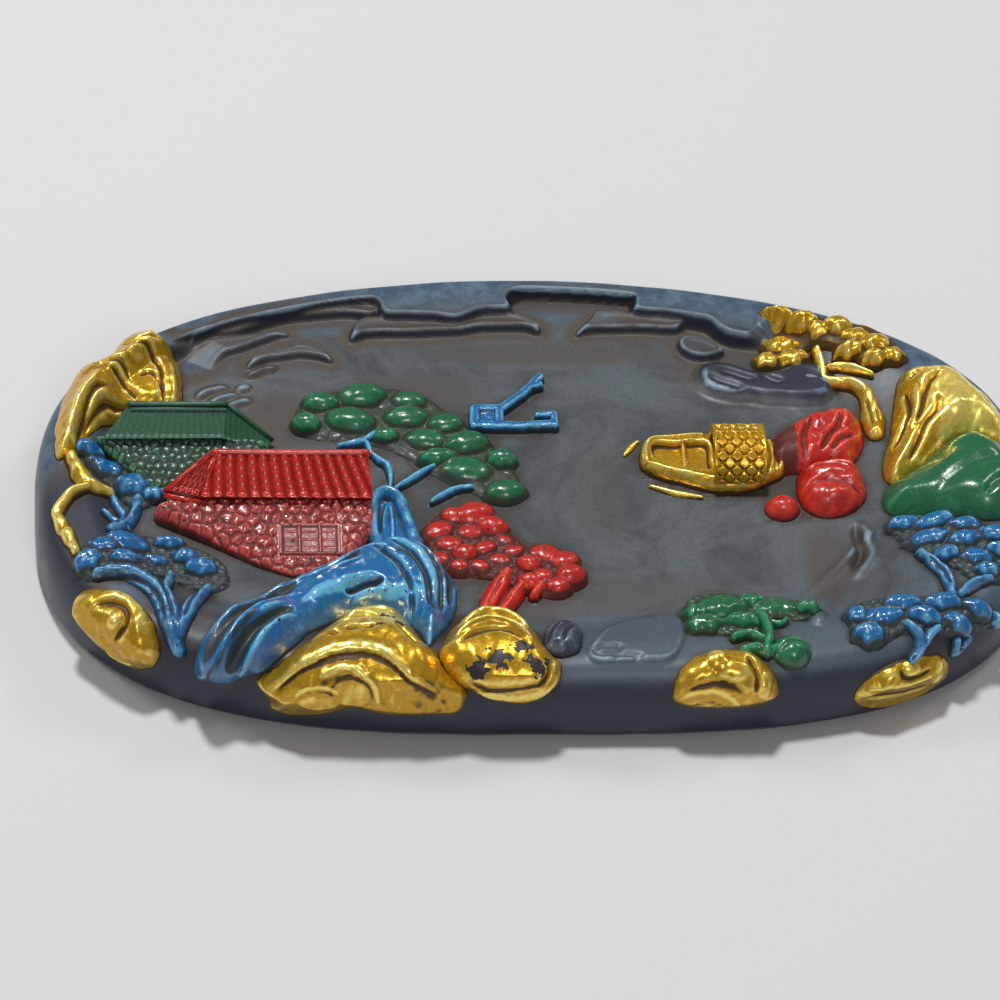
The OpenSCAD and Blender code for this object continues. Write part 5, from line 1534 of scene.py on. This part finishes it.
# Blue pines at the right end: long layered clumps of needles, each pine on forked trunks.
# They are cut from the rim and painted like the blue trees at the left.
# low_shade lays the wash colour low between and below the clumps: old wash, and painted shade.
motif("blue_pine_upper_foliage", blue, "blue_paint", (55.5, -26), (79, -5.5), foliage([
    (57, -8.4), (59.9, -7.1), (65.2, -8.9), (70.5, -11.4), (75.4, -13.6), (77.6, -17), (76, -21.4),
    (72.9, -24), (68.4, -23.6), (65.4, -21), (61.8, -18.6), (58.9, -14.4), (57, -11.4),
], [
    (59, -9.8, 2.8, 1.7), (63.8, -10.6, 3.4, 1.8), (68.6, -12, 3, 1.7), (73.2, -14.6, 2.8, 1.7),
    (62.4, -14.2, 3.6, 1.9), (68, -15.4, 3.2, 1.8), (73.4, -18, 2.4, 1.5), (69.6, -19.4, 2.9, 1.9),
    (64.8, -18.6, 2.4, 1.5), (70.8, -22.2, 2, 1.3),
], 2.6), step=0.18, shade=low_shade(1.95, 0.85))
motif("blue_pine_upper_trunk", blue_wash, "blue_paint", (58.5, -29.5), (73, -15.5), limbs(0.2, [
    ([(60.6, -17.4), (62.8, -20.6), (64.3, -23.4), (64.7, -27.4)], [0.9, 1.2, 1.4, 1.1], 2.1),
    ([(71.2, -23.6), (68.6, -24.8), (66, -27.2)], [0.8, 1.2, 1], 1.9),
], folds=[
    ([(61.8, -19.4), (63.8, -23), (64.6, -26)], 0.35, -0.7),
], waves=[(0.14, 0.8, 5.2)]), step=0.2)
# low_shade lays the wash colour low between and below the clumps: old wash, and painted shade.
motif("blue_pine_lower_foliage", blue, "blue_paint", (45.5, -40), (75, -25.5), foliage([
    (47.4, -29.7), (50.9, -27.7), (56.5, -27.3), (62.8, -27.3), (68.4, -28.1), (72.6, -28.2), (73.6, -30),
    (69.1, -32.5), (64.6, -34.4), (60.3, -34.6), (55.6, -35.4), (51.4, -38), (48.4, -37.1), (47, -33.3),
], [
    (56.4, -29.4, 3.4, 1.9), (62.8, -29.2, 3.3, 1.8), (68.6, -29.2, 3, 1.6), (72, -29.6, 1.6, 1.1),
    (48.8, -31.8, 2.1, 2), (52.8, -32.2, 3.9, 2.2), (59.4, -32, 2.8, 1.6), (65, -32.2, 2.7, 1.6),
    (50.2, -35.6, 2.7, 2),
], 2.6), step=0.18, shade=low_shade(1.95, 0.85))
motif("blue_pine_lower_trunk", blue_wash, "blue_paint", (54.5, -40.5), (70, -31.5), limbs(0.2, [
    ([(56.6, -33.6), (58.4, -35.2), (58.6, -37), (57.8, -38.4)], [0.9, 1.2, 1.3, 0.9], 2),
    ([(61.6, -33.6), (60, -35), (58.9, -36.6)], [0.8, 1, 1], 1.8),
    ([(65.6, -34.4), (66.8, -35.8), (68, -33.6)], [0.9, 1, 0.9], 1.5),
], waves=[(0.14, 0.8, 7.2)]), step=0.2)


# Red tree in front of the bed: round berry-like leaves in layers, with two bright petal-shaped trunks.
# It is cut from the block and painted the same glossy red as the roof of the house.
def red_leaves(x, y):
    """Layers of berry-like leaves over a low mass of small ones; the middle layers lie lower."""
    under = body(x, y, [
        (-18.5, -9.4), (-16.4, -6.4), (-12.3, -5.4), (-8.6, -6.6), (-5.3, -10.6), (-2.3, -14.2),
        (1.8, -13.9), (4.8, -17.4), (4.8, -21.2), (1.9, -23.8), (-0.6, -25), (-4.5, -23.4), (-7.6, -21.4),
        (-12.4, -20.6), (-16.4, -19.6), (-18.8, -15),
    ], 0.9, 1.4)
    h = np.where(under > 0, under + cobbles(x, y, 1.2, 0.4), under)
    for i, (cx, cy, rx, ry) in enumerate([
        (-14.4, -8, 1.4, 1.2), (-11.2, -7.6, 2.2, 1.6), (-16.9, -11.2, 1.7, 1.4), (-15.4, -14.2, 1.6, 1.2),
        (-8.3, -10.4, 1.7, 1.4), (-6.6, -13.2, 1.4, 1.2), (-12, -11.6, 1.6, 1.2), (-13, -16.2, 1.4, 1.2),
        (-9.8, -14.9, 1.5, 1.1), (-17.2, -17.4, 1.3, 1.2), (-7.5, -17.4, 1.5, 1.1), (-2.8, -18.6, 1.3, 1.1),
        (-0.1, -16.2, 1.9, 1.5), (2.8, -17.6, 1.7, 1.4), (3.7, -20.9, 1.6, 1.4), (1.6, -23, 1.4, 1.2),
        (-0.7, -21, 1.4, 1.2), (-3, -22.4, 1.3, 1.1), (-10.8, -18.8, 1.3, 1), (-14, -18.8, 1.2, 1),
        (-5, -15.6, 1.3, 1),
    ]):
        near = (np.abs(x - cx) < rx + 1.4) & (np.abs(y - cy) < ry + 1.4)
        high = 2.6 + 0.5 * math.sin(1.9 * i) - 0.8 * (-13 < cx < -4 and cy < -12)
        lump = hump(x[near], y[near], cx, cy, 2.05 * rx, 1.95 * ry, high, 20 * math.sin(i), 2.5)
        h[near] = join(h[near], lump, 0.12)
    return h + 0.06 * uneven(x, y, 0.8, 1.5)


def red_trunks(x, y):
    """Two petal-shaped trunks and a short stub."""
    h = np.full(len(x), -9.0)
    for line, width in (
        ([(-10.9, -29), (-9.8, -26.5), (-8.2, -23.3), (-6.4, -20)], [1, 1.8, 2, 1.1]),
        ([(-8.2, -30), (-7.2, -27.8), (-5.4, -24.8), (-3.7, -21.8)], [0.9, 1.5, 1.6, 1]),
        ([(-1.2, -23), (-2.4, -25)], [1.2, 1]),
    ):
        h = join(h, band(x, y, line, width, 2.3), 0.15)
    h += swell(x, y, [(-10, -27.6), (-8.8, -25), (-7.2, -21.8)], 0.35, -0.5)
    return h + 0.1 * uneven(x, y, 0.9, 2.5)


# low_shade lays the wash colour low between and below the clumps: old wash, and painted shade.
motif(
    "red_tree_foliage", red, "red_paint", (-21, -26.5), (6.5, -4), red_leaves,
    step=0.18, shade=low_shade(1.9, 1.1),
)
motif("red_tree_trunk", red, "red_paint", (-13, -32), (1, -17.5), red_trunks, step=0.19)


# Red rocks at the right of the boat: two folded rocks and a round ball, cut from the block and
# painted red; the one that touches the boat is darker at that end.
def back_shade(x, y, h):
    """The part next to the boat is darker."""
    return 0.7 * np.clip((43.6 - x) / 1.5, 0, 1)


def red_ball(x, y):
    """A round lump with one cut across its top."""
    h = hump(x, y, 39.6, -5.6, 3, 2.7, 3.1, 0, 2.6)
    h += swell(x, y, [(37.2, -4.4), (39.4, -3.8), (41.6, -4.6)], 0.4, -0.5)
    return h + 0.1 * uneven(x, y, 1.2, 0.4)


motif("red_rock_back", red, "red_paint", (35.5, 0), (57, 19), mound([
    (37.4, 4.4), (38.6, 9.2), (41.3, 11.9), (44.5, 14.5), (48.9, 16.3), (52.3, 16.6), (54.5, 14.5),
    (54.9, 9.9), (53.6, 6), (51.4, 3.6), (48, 3.2), (45, 2.4), (42, 2.2), (39.4, 1.6),
], 4, 3.8, 2.2, folds=[
    ([(44.2, 3.6), (44.2, 8), (45.8, 12.6)], 0.6, -1),
    ([(46.6, 5), (48.4, 8.2), (50.2, 10.6), (51, 13.6)], 0.5, -1.1),
    ([(48.4, 5.2), (50.4, 7.6), (53, 9)], 0.5, -0.9),
], lumps=[(51.2, 12, 2.2, 2.2, 0.8), (46.8, 12, 1.6, 2.6, 0.6)],
    waves=[(0.12, 1.6, 3.4), (0.06, 0.7, 1.4)]), step=0.22, shade=back_shade)
motif("red_rock_front", red, "red_paint", (41, -10.5), (57, 6), mound([
    (43.4, 2.6), (46.9, 3.8), (50.4, 4.2), (53.2, 3.4), (54, 0), (53.8, -3), (51.4, -6.2), (47.3, -7.6),
    (44, -6.6), (42.4, -3.5), (42.4, 0),
], 4, 3.6, 2.2, folds=[
    ([(43.8, 0.8), (46.4, 2.2), (49.6, 2.4), (52.4, 1.2)], 0.6, 0.9),
    ([(43.6, -2.6), (47, -1.8), (50.6, -2.4), (53, -3.8)], 0.6, -0.8),
], lumps=[(47.6, 0.2, 2.6, 1.3, 0.5), (49.4, -4.8, 2.8, 1.4, 0.4)],
    waves=[(0.12, 1.6, 4.4), (0.06, 0.7, 2.4)]), step=0.22)
motif("red_rock_small", red, "red_paint", (35, -10), (44, -1), red_ball, step=0.2)


# Green rock at the right edge, under the gold one: a wide smooth slab of rock with shallow hollows,
# cut from the rim and painted a glossy green.
motif("green_rock_right", green, "green_paint", (54.5, -13), (81, 11), mound([
    (56.6, -6.1), (56.3, -3.6), (57.5, -0.5), (59.9, 1.3), (62.6, 3), (65.6, 5.3), (67.8, 7.1),
    (70.4, 8.3), (73.3, 8.6), (75.9, 7), (77.9, 3.8), (79, -1), (78.8, -6), (77.4, -9.6), (72.8, -10.8),
    (68.6, -9.7), (64.4, -8.8), (61.2, -8.2), (58.9, -7.6),
], 4.4, 5, 2.2, folds=[
    ([(60, -4), (63.6, -0.6), (67.6, 2.6), (71.6, 4.6)], 1.6, -0.6),
    ([(64, -6.4), (68.4, -3), (72.6, -0.4), (76, 0.6)], 1.3, -0.5),
    ([(72, -8), (74.4, -5), (77, -3.6)], 0.9, -0.6),
], waves=[(0.1, 2.4, 5.4)]))


# Green tree at the front right: ribbed clumps over a thin looped trunk, with a small green boulder.
# They are cut from the rim and painted green, and the boulder is made darker over its front part.
def green_lump(x, y):
    """A round lump with one cut across its top."""
    h = hump(x, y, 37.5, -38.9, 3.4, 3.1, 2.6, -10, 2.6)
    h += swell(x, y, [(35.4, -39.8), (37.4, -38.4), (40, -38.8)], 0.4, -0.5)
    return h + 0.1 * uneven(x, y, 1.2, 2.2)


# low_shade lays the wash colour low between and below the clumps: old wash, and painted shade.
motif("green_tree_foliage", green, "green_paint", (19.5, -37), (45, -22.5), foliage([
    (21.6, -26.7), (23.8, -24.4), (28.7, -24), (33.4, -25), (39.1, -25.7), (42.9, -27.9), (43.3, -30.6),
    (39.8, -31.8), (35.9, -31), (33, -34.4), (29.7, -35.4), (25.8, -35), (22, -33.4), (21.1, -29.5),
], [
    (32.4, -26.6, 2.6, 1.8), (27.4, -28, 4.4, 2.9), (36, -28.2, 4, 2.4), (41, -29.6, 2.2, 1.3),
    (23.6, -29.2, 2.4, 2), (24.4, -32.6, 3.2, 2.2), (30.2, -32.4, 2.8, 1.8),
], 2.8), step=0.18, shade=low_shade(1.6, 0.6))
motif("green_tree_trunk", green, "washed_green_paint", (27.5, -43), (39.5, -28.5), limbs(0.2, [
    ([(33.4, -30), (34, -33), (34.1, -36), (33.4, -39.4)], [1.2, 1.2, 1.3, 1.2], 2.4),
    ([(28.6, -36.4), (31, -35.6), (33.2, -37)], [0.9, 1, 1], 2),
    ([(30, -39), (32, -38.6), (33.8, -39.2), (35.6, -38.6)], [1.1, 1.4, 1.2, 0.9], 1.9),
    ([(34.4, -32.4), (36.4, -33), (37.4, -32)], [0.7, 0.8, 0.6], 1.5),
], waves=[(0.1, 0.8, 1.7)]), step=0.2)
motif(
    "green_boulder", green, "green_paint", (33, -43), (42.5, -34.5), green_lump,
    step=0.2, shade=lambda x, y, h: 1.3 * np.clip((-40.8 - y) / 1.4, 0, 1),
)


# Boat on the bed: a gold hull with a thick bright rim and a hollow deck, a woven arched canopy between
# two hoops, and a ripple of water along its side.
hull_body = mound([
    (17.2, 2.9), (16.9, 5.6), (17.6, 8.4), (19.2, 9.6), (23.3, 10), (27.2, 10.5), (33.7, 10.8),
    (38, 9.4), (40.6, 7.8), (41.4, 4.6), (40.6, 1.6), (38.4, 0), (34.8, -1.8), (31, -2.4), (27.6, -1.8),
    (23.6, -0.4), (20, 0.8),
], 2.2, 1.2, folds=[
    ([(17.9, 3), (21.5, 1.6), (25, 0.6), (28.6, -0.4), (31, -1)], 0.6, 0.7, 0.05),
    ([(17.9, 3), (17.9, 6.1), (18.9, 8.4), (23, 9), (28, 9.4)], 0.55, 0.6, 0.05),
    ([(24.4, 8), (24.2, 2.4)], 0.5, 0.6, 0.05),
    ([(38.4, 8.6), (38.8, 4.6), (38, 0.6)], 0.5, 0.6, 0.1),
    ([(40.2, 7.4), (40.6, 4.6), (39.8, 1.8)], 0.4, 0.5, 0.1),
], waves=[(0.07, 1.1, 0.6)])


def hull(x, y):
    """The hull with its deck sunk in front of the canopy."""
    edge = [(19.2, 7.4), (23.1, 7.8), (28, 7.9), (28.4, 4.2), (28.2, 2), (24.6, 2.3), (20, 3.6)]
    well = depth_in(x, y, edge)
    return hull_body(x, y) - 1.5 * np.clip(well / 0.5 + 0.5, 0, 1)


def woven(u, v):
    """Crossed strips that leave a raised bead in each diamond, with a hoop at each end."""
    a, b = u * 3.5 + v * 6.8, u * 3.5 - v * 6.8
    bead = np.abs(np.sin(math.pi * a) * np.sin(math.pi * b))
    hoop = np.clip(1.3 - np.minimum(u, 1 - u) / 0.07, 0, 1)
    return 0.5 * np.clip(bead * 2.4, 0, 1) ** 0.8 * (1 - hoop) + 0.55 * hoop


u, v = np.meshgrid(np.linspace(0, 1, 150), np.linspace(0, 1, 200))
angle = math.pi * (0.02 + 0.96 * v)
weave = woven(u, v)
front_x, canopy_length = 28.6, 8.4
middle_y, deck_z = 4, bed_height + 2.1
outer_cloth, inner_cloth = (
    np.stack([
        front_x + canopy_length * u, middle_y - r * 1.22 * np.cos(angle), deck_z + r * 1.12 * np.sin(angle)
    ], -1) for r in (4.45 + weave, 3.6 + 0 * weave)
)
part_cloth = closed_sheet(outer_cloth, inner_cloth, weave)
motif("boat_hull", gold, "gold_paint", (15, -4.5), (43.5, 13), hull, step=0.18)
build("boat_canopy", [part_cloth], gold)
motif("boat_ripple", gold, "gold_paint", (13, -4.5), (28.5, 11), limbs(0.1, [
    ([(18.4, -0.6), (22.4, -2), (26.6, -3)], [0.4, 0.8, 0.4], 0.8),
    ([(14.6, 6.4), (15.8, 8.2), (17, 9.4)], [0.4, 0.8, 0.4], 0.8),
]), step=0.2)


# Bare stones left between the motifs at the front: low lumps of the same slate as the block,
# polished nearly black and not painted.
dark_stone = paint(
    "dark stone", (0.17, 0.2, 0.27), (0.36, 0.42, 0.5), (0.1, 0.1, 0.13), (0.2, 0.2, 0.22),
    amount=0.9, chips=0.2, gloss=0.2, coat=0.3,
)


motif("dark_boulder", dark_stone, "dark_stone", (-4, -42.5), (6.5, -28.5), mound([
    (-2, -38), (-1.4, -34), (0.2, -31.2), (2.4, -30.6), (4.4, -32.2), (4.6, -35.6), (3.8, -39),
    (1.4, -40.2), (-0.8, -39.8),
], 2.6, 2.8, folds=[
    ([(-1.4, -38.2), (-0.2, -34.6), (1.2, -32.4)], 0.4, -0.5),
    ([(1, -38.6), (2, -35.4), (3.4, -33.6)], 0.4, -0.5),
], waves=[(0.1, 1.6, 0.9)]))
motif("dark_stone_small", dark_stone, "dark_stone", (0.5, -25), (7.5, -16.5), mound([
    (2, -21), (3.2, -18.4), (5, -18.2), (6, -20.4), (5.4, -22.8), (3.2, -23.4),
], 1.5, 1.6, waves=[(0.08, 1.1, 1.9)]))

# Old wash on the stone itself, with painted contact shade, gathers round the feet of everything that stands
# on it, so the hollows are measured with all the motifs in place.
total = stone_ground[:, 2].copy()
for low, high, field in motif_heights:
    near = (stone_plan[:, 0] > low[0]) & (stone_plan[:, 0] < high[0])
    near &= (stone_plan[:, 1] > low[1]) & (stone_plan[:, 1] < high[1])
    spots = np.nonzero(near)[0]
    rise = np.clip(field(stone_plan[spots, 0], stone_plan[spots, 1]), 0, 1.2)
    total[spots] = np.maximum(total[spots], stone_ground[spots, 2] + rise)
give_values(stone, "hollow", np.append(hollows(total, stone_faces, 14, 0.7), 0))
